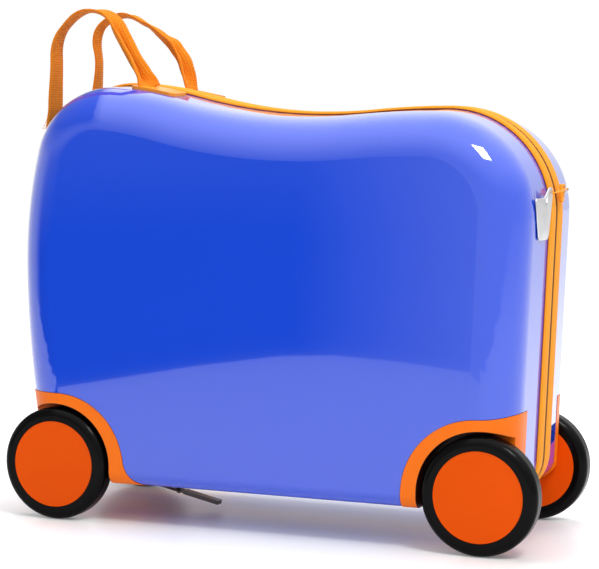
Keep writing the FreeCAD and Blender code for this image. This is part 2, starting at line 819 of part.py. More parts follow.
def origin_plane(body, role):
    """One of a body's own origin planes."""
    return next(plane for plane in body.Origin.OriginFeatures if plane.Role == role)


def polygon(sketch, corners):
    """Closed outline of straight lines through corners given as expressions.

    It starts as a regular polygon, and its dimensions then pull it into shape.
    """
    count = len(corners)
    turn = 2 * math.pi / count
    start = size("wheel_diameter") / 2
    seeds = [Vector(start * math.cos(i * turn), start * math.sin(i * turn)) for i in range(count)]
    for i in range(count):
        sketch.addGeometry(Part.LineSegment(seeds[i], seeds[(i + 1) % count]))
    for i in range(count):
        sketch.addConstraint(Sketcher.Constraint("Coincident", i, END, (i + 1) % count, START))
    for i, (x, y) in enumerate(corners):
        dimension(sketch, "DistanceX", ORIGIN, START, i, START, seed=seeds[i].x, text=x)
        dimension(sketch, "DistanceY", ORIGIN, START, i, START, seed=seeds[i].y, text=y)


def body_sketch(body, name, role):
    """A sketch on one of a body's origin planes."""
    sketch = body.newObject("Sketcher::SketchObject", name)
    sketch.AttachmentSupport = (origin_plane(body, role), [""])
    sketch.MapMode = "FlatFace"
    return sketch


def turned(name, corners):
    """Body turned about its Y axis from a section in radius and width."""
    body = doc.addObject("PartDesign::Body", name)
    section = body_sketch(body, name + "_section", "XY_Plane")
    polygon(section, corners)
    turn = body.newObject("PartDesign::Revolution", name + "_turn")
    turn.Profile = section
    turn.ReferenceAxis = (section, ["V_Axis"])
    turn.Angle = 360
    return body


WIDE = "Sizes.wheel_width / 2"
HUB_R = "Sizes.hub_diameter / 2"
TYRE_R = "Sizes.wheel_diameter / 2"
CAP_BACK = f"-{WIDE} + Sizes.cap_thickness"
HEAD_BACK = f"{CAP_BACK} + Sizes.running_gap + Sizes.axle_head_height"
BOSS_FACE = f"{HEAD_BACK} + Sizes.running_gap"
BUSH_BORE = "Sizes.axle_diameter / 2 + Sizes.fit_gap"
BUSH_R = f"{BUSH_BORE} + Sizes.bush_wall"
RIM_IN = f"{HUB_R} - Sizes.hub_rim"
WEB_FACE = f"{WIDE} - Sizes.hub_web"
BOSS_R = f"{BUSH_R} + Sizes.fit_gap + Sizes.boss_wall"
WASHER_FACE = f"{WIDE} + Sizes.plate_gap + Sizes.plate_thickness"


def tyre(name):
    """Rubber tyre with round shoulders."""
    bore = f"{HUB_R} + Sizes.fit_gap"
    body = turned(name, [(bore, f"-{WIDE}"), (TYRE_R, f"-{WIDE}"), (TYRE_R, WIDE), (bore, WIDE)])
    doc.recompute()
    turn = body.Tip
    rim = size("wheel_diameter") / 2
    shoulders = []
    for number, edge in enumerate(turn.Shape.Edges, start=1):
        if isinstance(edge.Curve, Part.Circle) and abs(edge.Curve.Radius - rim) < TOLERANCE:
            shoulders.append(f"Edge{number}")
    soft = body.newObject("PartDesign::Fillet", name + "_shoulders")
    soft.Base = (turn, shoulders)
    bind(soft, Radius="Sizes.tyre_shoulder")
    return body


def hub(name):
    """Moulded wheel core, open to the outside, with a web on the inner face."""
    bore = f"{BUSH_R} + Sizes.fit_gap"
    return turned(name, [
        (HUB_R, CAP_BACK), (HUB_R, WIDE), (bore, WIDE), (bore, BOSS_FACE),
        (BOSS_R, BOSS_FACE), (BOSS_R, WEB_FACE), (RIM_IN, WEB_FACE), (RIM_IN, CAP_BACK),
    ])


def hub_cap(name):
    """Flat disc that closes the hub, with a spigot ring inside the rim."""
    ring_out = f"{RIM_IN} - Sizes.fit_gap"
    ring_in = f"{ring_out} - Sizes.cap_thickness"
    ring_end = f"{CAP_BACK} + Sizes.cap_spigot"
    return turned(name, [
        ("0", f"-{WIDE}"), (HUB_R, f"-{WIDE}"), (HUB_R, CAP_BACK), (ring_out, CAP_BACK),
        (ring_out, ring_end), (ring_in, ring_end), (ring_in, CAP_BACK), ("0", CAP_BACK),
    ])


def bush(name):
    """Plain bush pressed into the hub."""
    return turned(name, [(BUSH_BORE, BOSS_FACE), (BUSH_R, BOSS_FACE), (BUSH_R, WIDE), (BUSH_BORE, WIDE)])


def axle(name):
    """Headed axle that runs through the wheel and the housing's back plate."""
    head = "Sizes.axle_head_diameter / 2"
    shank = "Sizes.axle_diameter / 2"
    top = f"{HEAD_BACK} - Sizes.axle_head_height"
    end = f"{WASHER_FACE} + Sizes.washer_thickness + Sizes.nut_height + Sizes.axle_tail"
    return turned(name, [
        ("0", top), (head, top), (head, HEAD_BACK), (shank, HEAD_BACK), (shank, end), ("0", end),
    ])


def washer(name):
    """Washer on the inside of the housing's back plate."""
    back = f"{WASHER_FACE} + Sizes.washer_thickness"
    rim = "Sizes.washer_diameter / 2"
    return turned(name, [(BUSH_BORE, WASHER_FACE), (rim, WASHER_FACE), (rim, back), (BUSH_BORE, back)])


def nut(name):
    """Hexagon nut on the end of the axle."""
    face = f"{WASHER_FACE} + Sizes.washer_thickness"
    hexagon = doc.addObject("Part::Prism", name + "_hexagon")
    hexagon.Polygon = 6
    hexagon.Placement = Placement(Vector(), ALONG["+Y"])
    bind(hexagon, Circumradius="Sizes.nut_diameter / 2", Height="Sizes.nut_height")
    place(hexagon, y=face)
    hole = rod(name + "_hole", BUSH_BORE, "Sizes.nut_height", y=face)
    return cut(name, hexagon, hole)


def set_on_axle(item, end, side):
    """Put a piece drawn about its own wheel centre on one of the four axles."""
    half_turn = 0 if side == "near" else 180
    item.Placement = Placement(Vector(), Rotation(Vector(0, 0, 1), half_turn))
    y = f"{SIDES[side]} * (Sizes.wheel_track / 2 - {WIDE})"
    return place(item, axle_x(end), y, AXLE_Z)


WHEEL_PIECES = {
    "tyre": tyre,
    "hub": hub,
    "hub_cap": hub_cap,
    "bush": bush,
    "axle": axle,
    "axle_washer": washer,
    "axle_nut": nut,
}
for end in ENDS:
    for side in SIDES:
        for kind, make in WHEEL_PIECES.items():
            label = f"{kind}_{end}_{side}"
            node(set_on_axle(make(label), end, side), label)


# Tail zip slider and its ridged pull

SLIDER_X = "Sizes.tail_end + Sizes.trim + Sizes.running_gap"
LUG_X = f"{SLIDER_X} + Sizes.slider_thickness + Sizes.lug_radius - Sizes.running_gap"
LUG_Z = "Sizes.tail_slider_height + Sizes.slider_length / 4"
LUG_HOLE = "Sizes.pin_diameter / 2 + Sizes.fit_gap"
CHEEK = "Sizes.lug_width"
CHEEK_Y = "Sizes.lug_width / 2 + Sizes.running_gap"

tail_plate = block(
    "tail_slider_plate", "Sizes.slider_thickness", "Sizes.slider_width", "Sizes.slider_length",
    SLIDER_X, "-Sizes.slider_width / 2", "Sizes.tail_slider_height - Sizes.slider_length / 2",
)
tail_lug = rod("tail_lug", "Sizes.lug_radius", "Sizes.lug_width", LUG_X, "-Sizes.lug_width / 2", LUG_Z)
tail_neck = block(
    "tail_lug_neck", "Sizes.lug_radius", "Sizes.lug_width", "2 * Sizes.lug_radius",
    f"{LUG_X} - Sizes.lug_radius", "-Sizes.lug_width / 2", f"{LUG_Z} - Sizes.lug_radius",
)
tail_hole = rod("tail_lug_hole", LUG_HOLE, "Sizes.slider_width", LUG_X, "-Sizes.slider_width / 2", LUG_Z)
tail_slider = cut("tail_slider", fuse("tail_slider_solid", tail_plate, tail_lug, tail_neck), tail_hole)
wall_centre, _, _, _ = outline_arcs(0.0)["tail"]
ALONG_WALL = Placement(
    Vector(), Rotation(Vector(0, 1, 0), size("tail_lean")), Vector(wall_centre.x, 0, wall_centre.y)
)
tail_slider.Placement = ALONG_WALL
node(tail_slider, "tail_slider")

# The pull is drawn about its pin. Its blade lies beside the slider, tilted from
# the tape down to the shell, and an ear and a bridge join it to the two cheeks
# on the pin.
BLADE_TOP = "-Sizes.tail_pull_drop"
BLADE_BACK = "-Sizes.lug_radius - Sizes.slider_thickness + 2 * Sizes.running_gap + Sizes.tail_pull_lift"
BLADE_EDGE = "Sizes.slider_width / 2 + Sizes.tail_pull_offset"
BLADE_MIDDLE = f"-({BLADE_EDGE}) - Sizes.tail_pull_top_width / 2"
FORK_BACK = "-Sizes.lug_radius / 2"
FORK_TOP = "-Sizes.lug_radius - 2 * Sizes.running_gap"
FORK_EDGE = f"{CHEEK_Y} + {CHEEK}"


def blade_section(body, name, width, ridge, level):
    """Flat-backed section of the pull with a ridge down its middle."""
    sketch = body_sketch(body, name, "XY_Plane")
    sketch.setExpression("AttachmentOffset.Base.z", level)
    near_side = f"{BLADE_MIDDLE} - {width} / 2"
    far_side = f"{BLADE_MIDDLE} + {width} / 2"
    edge = f"{BLADE_BACK} + Sizes.tail_pull_edge"
    polygon(sketch, [
        (BLADE_BACK, near_side), (edge, near_side), (f"{BLADE_BACK} + {ridge}", BLADE_MIDDLE),
        (edge, far_side), (BLADE_BACK, far_side),
    ])
    return sketch


def pull_block(name, depth, x, near_edge, far_edge, low, high):
    """Block of the pull between two places across and two heights about the pin."""
    return block(
        name, depth, f"{far_edge} - ({near_edge})", f"{high} - ({low})",
        f"{LUG_X} + {x}", near_edge, f"{LUG_Z} + {low}",
    )


blade = doc.addObject("PartDesign::Body", "tail_pull_blade")
blade_top = blade_section(
    blade, "blade_top", "Sizes.tail_pull_top_width", "Sizes.tail_pull_ridge", BLADE_TOP
)
blade_foot = blade_section(
    blade, "blade_foot", "Sizes.tail_pull_foot_width", "Sizes.tail_pull_foot_ridge",
    f"{BLADE_TOP} - Sizes.tail_pull_length",
)
blade_loft = blade.newObject("PartDesign::AdditiveLoft", "blade_loft")
blade_loft.Profile = blade_top
blade_loft.Sections = [blade_foot]
blade_loft.Ruled = True
blade.Placement = Placement(Vector(), Rotation(Vector(0, 0, 1), -size("tail_pull_tilt")))
place(blade, LUG_X, "0", LUG_Z)

ear_depth = f"{FORK_BACK} + Sizes.lug_radius - ({BLADE_BACK})"
ear_edge = f"-({BLADE_EDGE}) - Sizes.tail_pull_ear"
ear_low = f"{BLADE_TOP} - Sizes.tail_pull_ear"
ear = pull_block(
    "tail_ear", ear_depth, BLADE_BACK, ear_edge, f"-({BLADE_EDGE})", ear_low, FORK_TOP
)
bridge = pull_block(
    "tail_bridge", "Sizes.lug_radius", FORK_BACK, ear_edge, FORK_EDGE, BLADE_TOP, FORK_TOP
)
fork = [ear, bridge]
cheek_radius = "Sizes.lug_radius - 2 * Sizes.running_gap"
for tag, y in (("near", f"-({FORK_EDGE})"), ("far", CHEEK_Y)):
    fork.append(rod(f"tail_cheek_{tag}", cheek_radius, CHEEK, LUG_X, y, LUG_Z))
    fork.append(pull_block(
        f"tail_arm_{tag}", "Sizes.lug_radius", FORK_BACK, y, f"{y} + {CHEEK}", FORK_TOP, "0"
    ))
pin = rod(
    "tail_pull_pin", "Sizes.pin_diameter / 2", f"2 * ({FORK_EDGE})", LUG_X, f"-({FORK_EDGE})", LUG_Z
)
tail_pull = fuse("tail_pull", blade, pin, *fork)
tail_pull.Placement = ALONG_WALL
node(tail_pull, "tail_pull")


# Front zip slider under the case, with its link and bar

DECK = "Sizes.underside_height - Sizes.trim - Sizes.running_gap"
UNDER_X = "-Sizes.front_slider_place"
LUG_NECK = "Sizes.lug_radius + Sizes.front_lug_drop"
UNDER_Z = f"{DECK} - Sizes.slider_thickness - ({LUG_NECK}) + Sizes.running_gap"
UNDER_Y = "Sizes.front_slider_offset"
WIRE = "Sizes.link_wire / 2"

under_plate = block(
    "front_slider_plate", "Sizes.slider_length", "Sizes.slider_width", "Sizes.slider_thickness",
    f"{UNDER_X} - Sizes.slider_length / 2", f"{UNDER_Y} - Sizes.slider_width / 2",
    f"{DECK} - Sizes.slider_thickness",
)
under_lug = rod(
    "front_lug", "Sizes.lug_radius", "Sizes.lug_width",
    UNDER_X, f"{UNDER_Y} - Sizes.lug_width / 2", UNDER_Z,
)
under_neck = block(
    "front_lug_neck", "2 * Sizes.lug_radius", "Sizes.lug_width", LUG_NECK,
    f"{UNDER_X} - Sizes.lug_radius", f"{UNDER_Y} - Sizes.lug_width / 2", UNDER_Z,
)
under_hole = rod(
    "front_lug_hole", f"{WIRE} + Sizes.fit_gap", "Sizes.slider_width",
    UNDER_X, f"{UNDER_Y} - Sizes.slider_width / 2", UNDER_Z,
)
front_solid = fuse("front_slider_solid", under_plate, under_lug, under_neck)
node(cut("front_slider", front_solid, under_hole), "front_slider")

half_link = "Sizes.link_width / 2"
link_bars = [
    rod("link_head", WIRE, "Sizes.link_width", "0", f"-({half_link})", "0"),
    rod("link_foot", WIRE, "Sizes.link_width", "Sizes.link_length", f"-({half_link})", "0"),
    rod("link_near", WIRE, "Sizes.link_length", "0", f"-({half_link})", "0", "+X"),
    rod("link_far", WIRE, "Sizes.link_length", "0", half_link, "0", "+X"),
]
for tag, x in (("head", "0"), ("foot", "Sizes.link_length")):
    for side, y in (("near", f"-({half_link})"), ("far", half_link)):
        ball = doc.addObject("Part::Sphere", f"link_{tag}_{side}")
        bind(ball, Radius=WIRE)
        link_bars.append(place(ball, x, y, "0"))
link = fuse("front_pull_link", *link_bars)

bar_eye = rod(
    "bar_eye", "Sizes.lug_radius", "Sizes.lug_width", "Sizes.link_length", "-Sizes.lug_width / 2"
)
bar_neck = block(
    "bar_neck", "2 * Sizes.lug_radius", "Sizes.lug_width", "Sizes.bar_thickness",
    "Sizes.link_length", "-Sizes.lug_width / 2", "-Sizes.bar_thickness / 2",
)
bar_blade = block(
    "bar_blade", "Sizes.bar_length", "Sizes.bar_width", "Sizes.bar_thickness",
    "Sizes.link_length + 2 * Sizes.lug_radius - Sizes.running_gap",
    "-Sizes.bar_width / 2", "-Sizes.bar_thickness / 2",
)
bar_hole = rod(
    "bar_hole", f"{WIRE} + Sizes.fit_gap", "Sizes.link_width", "Sizes.link_length", f"-({half_link})"
)
bar = cut("front_pull_bar", fuse("front_bar_solid", bar_eye, bar_neck, bar_blade), bar_hole)
for item, label in ((link, "front_pull_link"), (bar, "front_pull_bar")):
    item.Placement = Placement(Vector(), Rotation(Vector(0, 1, 0), size("link_droop")))
    node(place(item, UNDER_X, UNDER_Y, UNDER_Z), label)


# Grab straps, each with its own drape

HALF_STRAP = "Sizes.strap_width / 2"
HALF_THICK = "Sizes.strap_thickness / 2"
LEG_X = "-Sizes.strap_leg_place"
FOOT_Z = f"Sizes.end_tab_height + Sizes.tab_length / 2 + Sizes.running_gap + {HALF_STRAP}"

# How many times the rear foot and the slope above it are worked out from each other.
SETTLING_STEPS = 12


def rear_leg(centre, radius, foot_x):
    """Foot of a strap's rear leg on the top tab, and the turn at which it leaves the arc.

    The foot's rounded end hangs lower the steeper the leg is, so the two are
    worked out together.
    """
    rest = crest(foot_x) + size("trim") + 2 * size("running_gap")
    turn = 0.0
    for _ in range(SETTLING_STEPS):
        fall = size("strap_width") / 2 * math.cos(turn) + size("strap_thickness") / 2 * math.sin(turn)
        foot = Vector(foot_x, rest + fall)
        ray = foot - centre
        turn = math.atan2(ray.y, ray.x) + math.acos(radius / ray.Length)
    return foot, turn


def strap(side):
    """One strap: up from the end tab, over the top in two arcs, and down to the top tab."""
    front_size = f"Sizes.{side}_strap_front_radius"
    rear_size = f"Sizes.{side}_strap_rear_radius"
    front_r = size(f"{side}_strap_front_radius")
    rear_r = size(f"{side}_strap_rear_radius")
    leg_x = -size("strap_leg_place")
    leg_foot = size("end_tab_height") + size("tab_length") / 2 + size("running_gap") + size("strap_width") / 2
    front_centre = Vector(leg_x + front_r, size("strap_top") - front_r)
    rear_centre = Vector(leg_x + front_r, size("strap_top") - rear_r)
    foot, turn = rear_leg(rear_centre, rear_r, -size(f"{side}_strap_foot_place"))
    outward = Vector(math.cos(turn), math.sin(turn))
    y = f"{SIDES[side]} * Sizes.strap_spacing / 2"

    path = doc.addObject("Sketcher::SketchObject", f"{side}_strap_path")
    path.Placement = Placement(Vector(), ALONG["-Y"])
    place(path, y=y)
    up = Vector(0, 0, 1)
    leg = path.addGeometry(Part.LineSegment(Vector(leg_x, leg_foot), Vector(leg_x, front_centre.y)))
    front_arc = path.addGeometry(
        Part.ArcOfCircle(Part.Circle(front_centre, up, front_r), math.pi / 2, math.pi)
    )
    rear_arc = path.addGeometry(
        Part.ArcOfCircle(Part.Circle(rear_centre, up, rear_r), turn, math.pi / 2)
    )
    slope = path.addGeometry(Part.LineSegment(rear_centre + outward * rear_r, foot))
    tangent(path, leg, END, front_arc, END)
    tangent(path, front_arc, START, rear_arc, END)
    tangent(path, rear_arc, START, slope, START)
    path.addConstraint(Sketcher.Constraint("Vertical", leg))
    path.addConstraint(Sketcher.Constraint("Vertical", front_arc, CENTRE, rear_arc, CENTRE))
    level = (ORIGIN, START)
    path_sizes = (
        ("Radius", (front_arc,), front_r, front_size),
        ("Radius", (rear_arc,), rear_r, rear_size),
        ("DistanceX", (*level, leg, START), leg_x, LEG_X),
        ("DistanceY", (*level, leg, START), leg_foot, FOOT_Z),
        ("DistanceY", (*level, front_arc, CENTRE), front_centre.y, f"Sizes.strap_top - {front_size}"),
        ("DistanceX", (*level, slope, END), foot.x, f"-Sizes.{side}_strap_foot_place"),
        ("DistanceY", (*level, slope, END), foot.y, f"{foot.y}"),
    )
    for kind, where, seed, expression in path_sizes:
        dimension(path, kind, *where, seed=seed, text=expression)

    webbing = doc.addObject("Sketcher::SketchObject", f"{side}_strap_webbing")
    polygon(webbing, [
        (f"-{HALF_THICK}", f"-{HALF_STRAP}"), (HALF_THICK, f"-{HALF_STRAP}"),
        (HALF_THICK, HALF_STRAP), (f"-{HALF_THICK}", HALF_STRAP),
    ])
    place(webbing, LEG_X, y, FOOT_Z)
    doc.recompute()
    ribbon = doc.addObject("Part::Sweep", f"{side}_strap_ribbon")
    ribbon.Sections = [webbing]
    ribbon.Spine = (path, ["Edge1", "Edge2", "Edge3", "Edge4"])
    ribbon.Solid = True

    front_foot = rod(
        f"{side}_strap_front_foot", HALF_STRAP, "Sizes.strap_thickness",
        f"{LEG_X} - {HALF_THICK}", y, FOOT_Z, "+X",
    )
    rear_foot = doc.addObject("Part::Cylinder", f"{side}_strap_rear_foot")
    bind(rear_foot, Radius=HALF_STRAP, Height="Sizes.strap_thickness")
    normal = Vector(outward.x, 0, outward.y)
    middle = Vector(foot.x, SIDES[side] * size("strap_spacing") / 2, foot.y)
    rear_foot.Placement = Placement(
        middle - normal * (size("strap_thickness") / 2), Rotation(Vector(0, 0, 1), normal)
    )
    return fuse(f"strap_{side}", ribbon, front_foot, rear_foot)


for side in SIDES:
    node(strap(side), f"strap_{side}")


# Check every object, then write one file per sub-part

doc.recompute()
failed = [item.Name for item in doc.Objects if {"Invalid", "Error"} & set(item.State)]
for item in nodes:
    if item.Shape.isNull() or not item.Shape.isValid() or not item.Shape.Solids:
        failed.append(item.Label)
if failed:
    raise RuntimeError("These objects failed: " + ", ".join(sorted(set(failed))))

os.makedirs("parts", exist_ok=True)
for item in nodes:
    item.Shape.exportStep(os.path.join("parts", item.Label + ".step"))
print(len(nodes), "sub-parts written")
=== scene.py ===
"""Looks of a ride-on suitcase for a child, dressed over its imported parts.

Two glossy half shells meet at a zip band. Each half has two wheels in
coloured housings and one webbing grab strap. Sizes are in metres where nothing
else is said, X runs along the case with the straps at -X, and Z is up.
"""

import json
import logging
import math
from abc import ABC, abstractmethod
from contextlib import contextmanager
from dataclasses import astuple, dataclass, fields
from enum import Enum
from functools import partial, reduce
from typing import Iterator, Sequence

import bmesh
import bpy
from mathutils import Matrix, Vector, noise

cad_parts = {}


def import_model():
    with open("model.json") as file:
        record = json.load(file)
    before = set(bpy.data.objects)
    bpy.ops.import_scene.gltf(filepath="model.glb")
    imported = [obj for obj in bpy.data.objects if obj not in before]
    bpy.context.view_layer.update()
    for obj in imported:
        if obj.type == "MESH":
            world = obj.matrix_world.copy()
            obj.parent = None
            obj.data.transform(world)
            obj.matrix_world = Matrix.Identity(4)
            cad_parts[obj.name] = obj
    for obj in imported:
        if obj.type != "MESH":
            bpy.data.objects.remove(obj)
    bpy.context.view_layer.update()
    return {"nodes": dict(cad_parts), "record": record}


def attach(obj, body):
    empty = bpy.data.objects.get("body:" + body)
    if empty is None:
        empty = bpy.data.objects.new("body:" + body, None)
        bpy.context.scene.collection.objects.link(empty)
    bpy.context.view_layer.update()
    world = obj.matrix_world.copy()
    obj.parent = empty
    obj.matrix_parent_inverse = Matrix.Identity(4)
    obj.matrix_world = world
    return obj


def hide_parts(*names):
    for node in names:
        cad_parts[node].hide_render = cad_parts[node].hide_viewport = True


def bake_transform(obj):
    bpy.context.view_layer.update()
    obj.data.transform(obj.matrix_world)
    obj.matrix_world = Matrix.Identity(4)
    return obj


Colour = tuple[float, float, float]
Point = tuple[float, float]
Triple = tuple[float, float, float]
Piece = bpy.types.Object
Socket = bpy.types.NodeSocket
Materials = dict[str, bpy.types.Material]

LOG = logging.getLogger("ride_on_suitcase")
MM = 0.001
SAME_PLACE = 0.001 * MM
FULL_TURN = 2 * math.pi
WAVE_REPEAT = math.pi / 10
WHITE = (1.0, 1.0, 1.0, 1.0)
SIDEWAYS = Vector((0, 1, 0))


class Tagged(Enum):
    """Choice whose name stands in the names of parts."""

    @property
    def tag(self) -> str:
        """Name of the choice as the parts carry it."""
        return self.name.lower()


class Side(Tagged):
    """The two halves of the case, with the sign of their place across."""

    NEAR = -1
    FAR = 1


class End(Tagged):
    """The two ends of the case, with the sign of their place along it."""

    FRONT = -1
    TAIL = 1


class Coords(Enum):
    """Where a pattern takes its place from."""

    GENERATED = "Generated"
    OBJECT = "Object"
    UV = "UV"


# Materials


class Graph:
    """Node tree, with short calls to add and wire its nodes."""

    def __init__(self, tree: bpy.types.NodeTree) -> None:
        """Take over a tree."""
        self.tree = tree
        self.places = tree.nodes.new("ShaderNodeTexCoord")

    def put(self, value: object, socket: Socket) -> None:
        """Set an input, or wire another node into it.

        Args:
            value: A plain value, or the output socket to wire in.
            socket: The input.
        """
        if isinstance(value, Socket):
            self.tree.links.new(value, socket)
        else:
            socket.default_value = value

    def fill(self, node: bpy.types.Node, **inputs: object) -> bpy.types.Node:
        """Set or wire the inputs of a node.

        Args:
            node: The node.
            inputs: Input names, with underscores for spaces, and their values.

        Returns:
            The same node.
        """
        for label, value in inputs.items():
            self.put(value, node.inputs[label.replace("_", " ")])
        return node

    def add(self, kind: str, **inputs: object) -> bpy.types.Node:
        """Add a node, by its type without the prefix, and fill its inputs."""
        return self.fill(self.tree.nodes.new("ShaderNode" + kind), **inputs)

    def calc(self, operation: str, *values: object) -> Socket:
        """Result of a sum on plain values or patterns.

        Args:
            operation: Name of the sum.
            values: Plain values or sockets, in order.

        Returns:
            Socket of the result.
        """
        node = self.add("Math")
        node.operation = operation
        for socket, value in zip(node.inputs, values):
            self.put(value, socket)
        return node.outputs[0]

    def product(self, *values: object) -> Socket:
        """Product of plain values and patterns."""
        return reduce(partial(self.calc, "MULTIPLY"), values)

    def place(self, coords: Coords, scale: Sequence[float] = (1, 1, 1)) -> Socket:
        """Place of a surface point, stretched along its axes."""
        mapping = self.add("Mapping", Vector=self.places.outputs[coords.value], Scale=scale)
        return mapping.outputs["Vector"]

    def axes(self, coords: Coords) -> bpy.types.NodeOutputs:
        """The three parts of a surface point's place."""
        return self.add("SeparateXYZ", Vector=self.places.outputs[coords.value]).outputs

    def ramp(self, value: Socket, start: float, stop: float) -> Socket:
        """Rise of a value, from 0 at the start level to 1 at the stop level."""
        return self.add("MapRange", Value=value, From_Min=start, From_Max=stop).outputs["Result"]

    def span(self, pattern: Socket, low: float, high: float) -> Socket:
        """A pattern from 0 to 1, stretched over another range."""
        return self.add("MapRange", Value=pattern, To_Min=low, To_Max=high).outputs["Result"]

    def between(self, share: Socket, low: object, high: object) -> Socket:
        """Value at a share of the way between two others."""
        return self.calc("MULTIPLY_ADD", share, self.calc("SUBTRACT", high, low), low)

    def reach(self, first: Socket, second: Socket) -> Socket:
        """Straight length over two distances at right angles."""
        square = self.calc("MULTIPLY_ADD", first, first, self.calc("MULTIPLY", second, second))
        return self.calc("SQRT", square)

    def patch(self, coords: Coords, **edges: Point) -> Socket:
        """Patch that is 1 inside its soft edges, which are given by the axis across them."""
        axes = self.axes(coords)
        return self.product(*(self.ramp(axes[axis], *edge) for axis, edge in edges.items()))

    def mix(self, share: Socket, low: object, high: object) -> Socket:
        """Colour between two others.

        Args:
            share: Socket of the share of the second colour.
            low: First colour, plain or a socket.
            high: Second colour, plain or a socket.

        Returns:
            Socket of the mixed colour.
        """
        node = self.add("Mix")
        node.data_type = "RGBA"
        self.put(share, node.inputs["Factor"])
        for label, colour in (("A", low), ("B", high)):
            plain = not isinstance(colour, Socket)
            self.put((*colour, 1.0) if plain else colour, node.inputs[label])
        return node.outputs["Result"]


class Coating(Graph):
    """Node tree of one material, ending in one shader."""

    def __init__(self, name: str) -> None:
        """Start a material.

        Args:
            name: Name of the material.
        """
        self.material = bpy.data.materials.new(name)
        self.material.use_nodes = True
        super().__init__(self.material.node_tree)
        self.shader = self.tree.nodes["Principled BSDF"]

    def grain(self, scale: float, detail: float = 3.0, stretch: Sequence[float] = (1, 1, 1)) -> Socket:
        """Soft random pattern from 0 to 1, of so many blotches in a metre and finer layers."""
        place = self.place(Coords.OBJECT, stretch)
        return self.add("TexNoise", Vector=place, Scale=scale, Detail=detail).outputs["Fac"]

    def ribs(self, pitch: float, axis: str, coords: Coords = Coords.UV) -> Socket:
        """Evenly spaced smooth ribs.

        Args:
            pitch: Distance from rib to rib.
            axis: Axis across the ribs, X, Y or Z.
            coords: Where the place is read from.

        Returns:
            Socket of the ribs' height, from 0 to 1.
        """
        wave = self.add("TexWave", Vector=self.place(coords), Scale=WAVE_REPEAT / pitch)
        wave.bands_direction = axis
        return wave.outputs["Fac"]

    def blotches(self, colour: Colour, unevenness: float, scale: float) -> Socket:
        """A colour that varies by a share of itself, in so many soft blotches in a metre."""
        low, high = (shade(colour, 1 + sign * unevenness) for sign in (-1, 1))
        return self.mix(self.grain(scale), low, high)

    def relief(self, height: Socket, depth: float, strength: float) -> None:
        """Let a pattern of some depth raise the surface by a share of it."""
        bump = self.add("Bump", Height=height, Distance=depth, Strength=strength)
        self.fill(self.shader, Normal=bump.outputs["Normal"])


def shade(colour: Colour, factor: float) -> Colour:
    """A lighter or darker version of a colour, kept within 1."""
    return tuple(min(1.0, part * factor) for part in colour)


@dataclass(frozen=True, kw_only=True)
class Finish(ABC):
    """Surface whose tone, roughness and relief all vary a little.

    The roughness spreads between two shares of itself. A scale is a number of
    blotches in a metre.
    """

    name: str
    colour: Colour
    roughness: float
    spread: Point
    relief_depth: float
    relief_strength: float

    @abstractmethod
    def texture(self, coating: Coating) -> Socket:
        """Pattern that the relief follows."""

    @abstractmethod
    def tone(self, coating: Coating, texture: Socket) -> Socket:
        """Colour over the surface."""

    @abstractmethod
    def gloss(self) -> dict[str, float]:
        """Further inputs of the shader."""

    def haze(self, coating: Coating, texture: Socket) -> Socket:
        """Pattern that the roughness follows, the relief's unless a finish has its own."""
        return texture

    def material(self) -> bpy.types.Material:
        """Build the finish.

        Returns:
            The material.
        """
        coating = Coating(self.name)
        texture = self.texture(coating)
        low, high = (self.roughness * share for share in self.spread)
        coating.fill(
            coating.shader,
            Base_Color=self.tone(coating, texture),
            Roughness=coating.span(self.haze(coating, texture), low, high),
            **self.gloss(),
        )
        coating.relief(texture, self.relief_depth, self.relief_strength)
        return coating.material


@dataclass(frozen=True, kw_only=True)
class Grained(Finish):
    """Moulded surface, with one grain for its relief and another for its roughness."""

    haze_scale: float
    relief_scale: float
    relief_detail: float = 1.0

    def texture(self, coating: Coating) -> Socket:
        """Fine grain of the mould."""
        return coating.grain(self.relief_scale, self.relief_detail)

    def haze(self, coating: Coating, texture: Socket) -> Socket:
        """Coarser grain of the roughness."""
        return coating.grain(self.haze_scale)


@dataclass(frozen=True, kw_only=True)
class MouldedGloss(Grained):
    """Glossy moulded plastic under a clear film, with a faint uneven surface."""

    unevenness: float = 0.03
    tone_scale: float = 5.0
    roughness: float = 0.05
    spread: Point = (1.0, 1.5)
    haze_scale: float = 30.0
    relief_scale: float = 140.0
    relief_depth: float = 0.05 * MM
    relief_strength: float = 0.06
    refraction: float = 1.5
    film: float = 1.0
    film_roughness: float = 0.015

    def tone(self, coating: Coating, texture: Socket) -> Socket:
        """Softly uneven colour."""
        return coating.blotches(self.colour, self.unevenness, self.tone_scale)

    def gloss(self) -> dict[str, float]:
        """Clear film over the plastic."""
        film = {"Coat_Weight": self.film, "Coat_Roughness": self.film_roughness}
        return film | {"IOR": self.refraction, "Coat_IOR": self.refraction}


@dataclass(frozen=True, kw_only=True)
class MouldedSatin(Grained):
    """Satin moulded plastic with a fine tool-spark grain."""

    unevenness: float = 0.05
    tone_scale: float = 14.0
    roughness: float = 0.36
    spread: Point = (0.85, 1.15)
    haze_scale: float = 60.0
    relief_scale: float = 1500.0
    relief_depth: float = 0.03 * MM
    relief_strength: float = 0.5
    specular: float = 0.3

    def tone(self, coating: Coating, texture: Socket) -> Socket:
        """Softly uneven colour."""
        return coating.blotches(self.colour, self.unevenness, self.tone_scale)

    def gloss(self) -> dict[str, float]:
        """Dull shine."""
        return {"Specular_IOR_Level": self.specular}


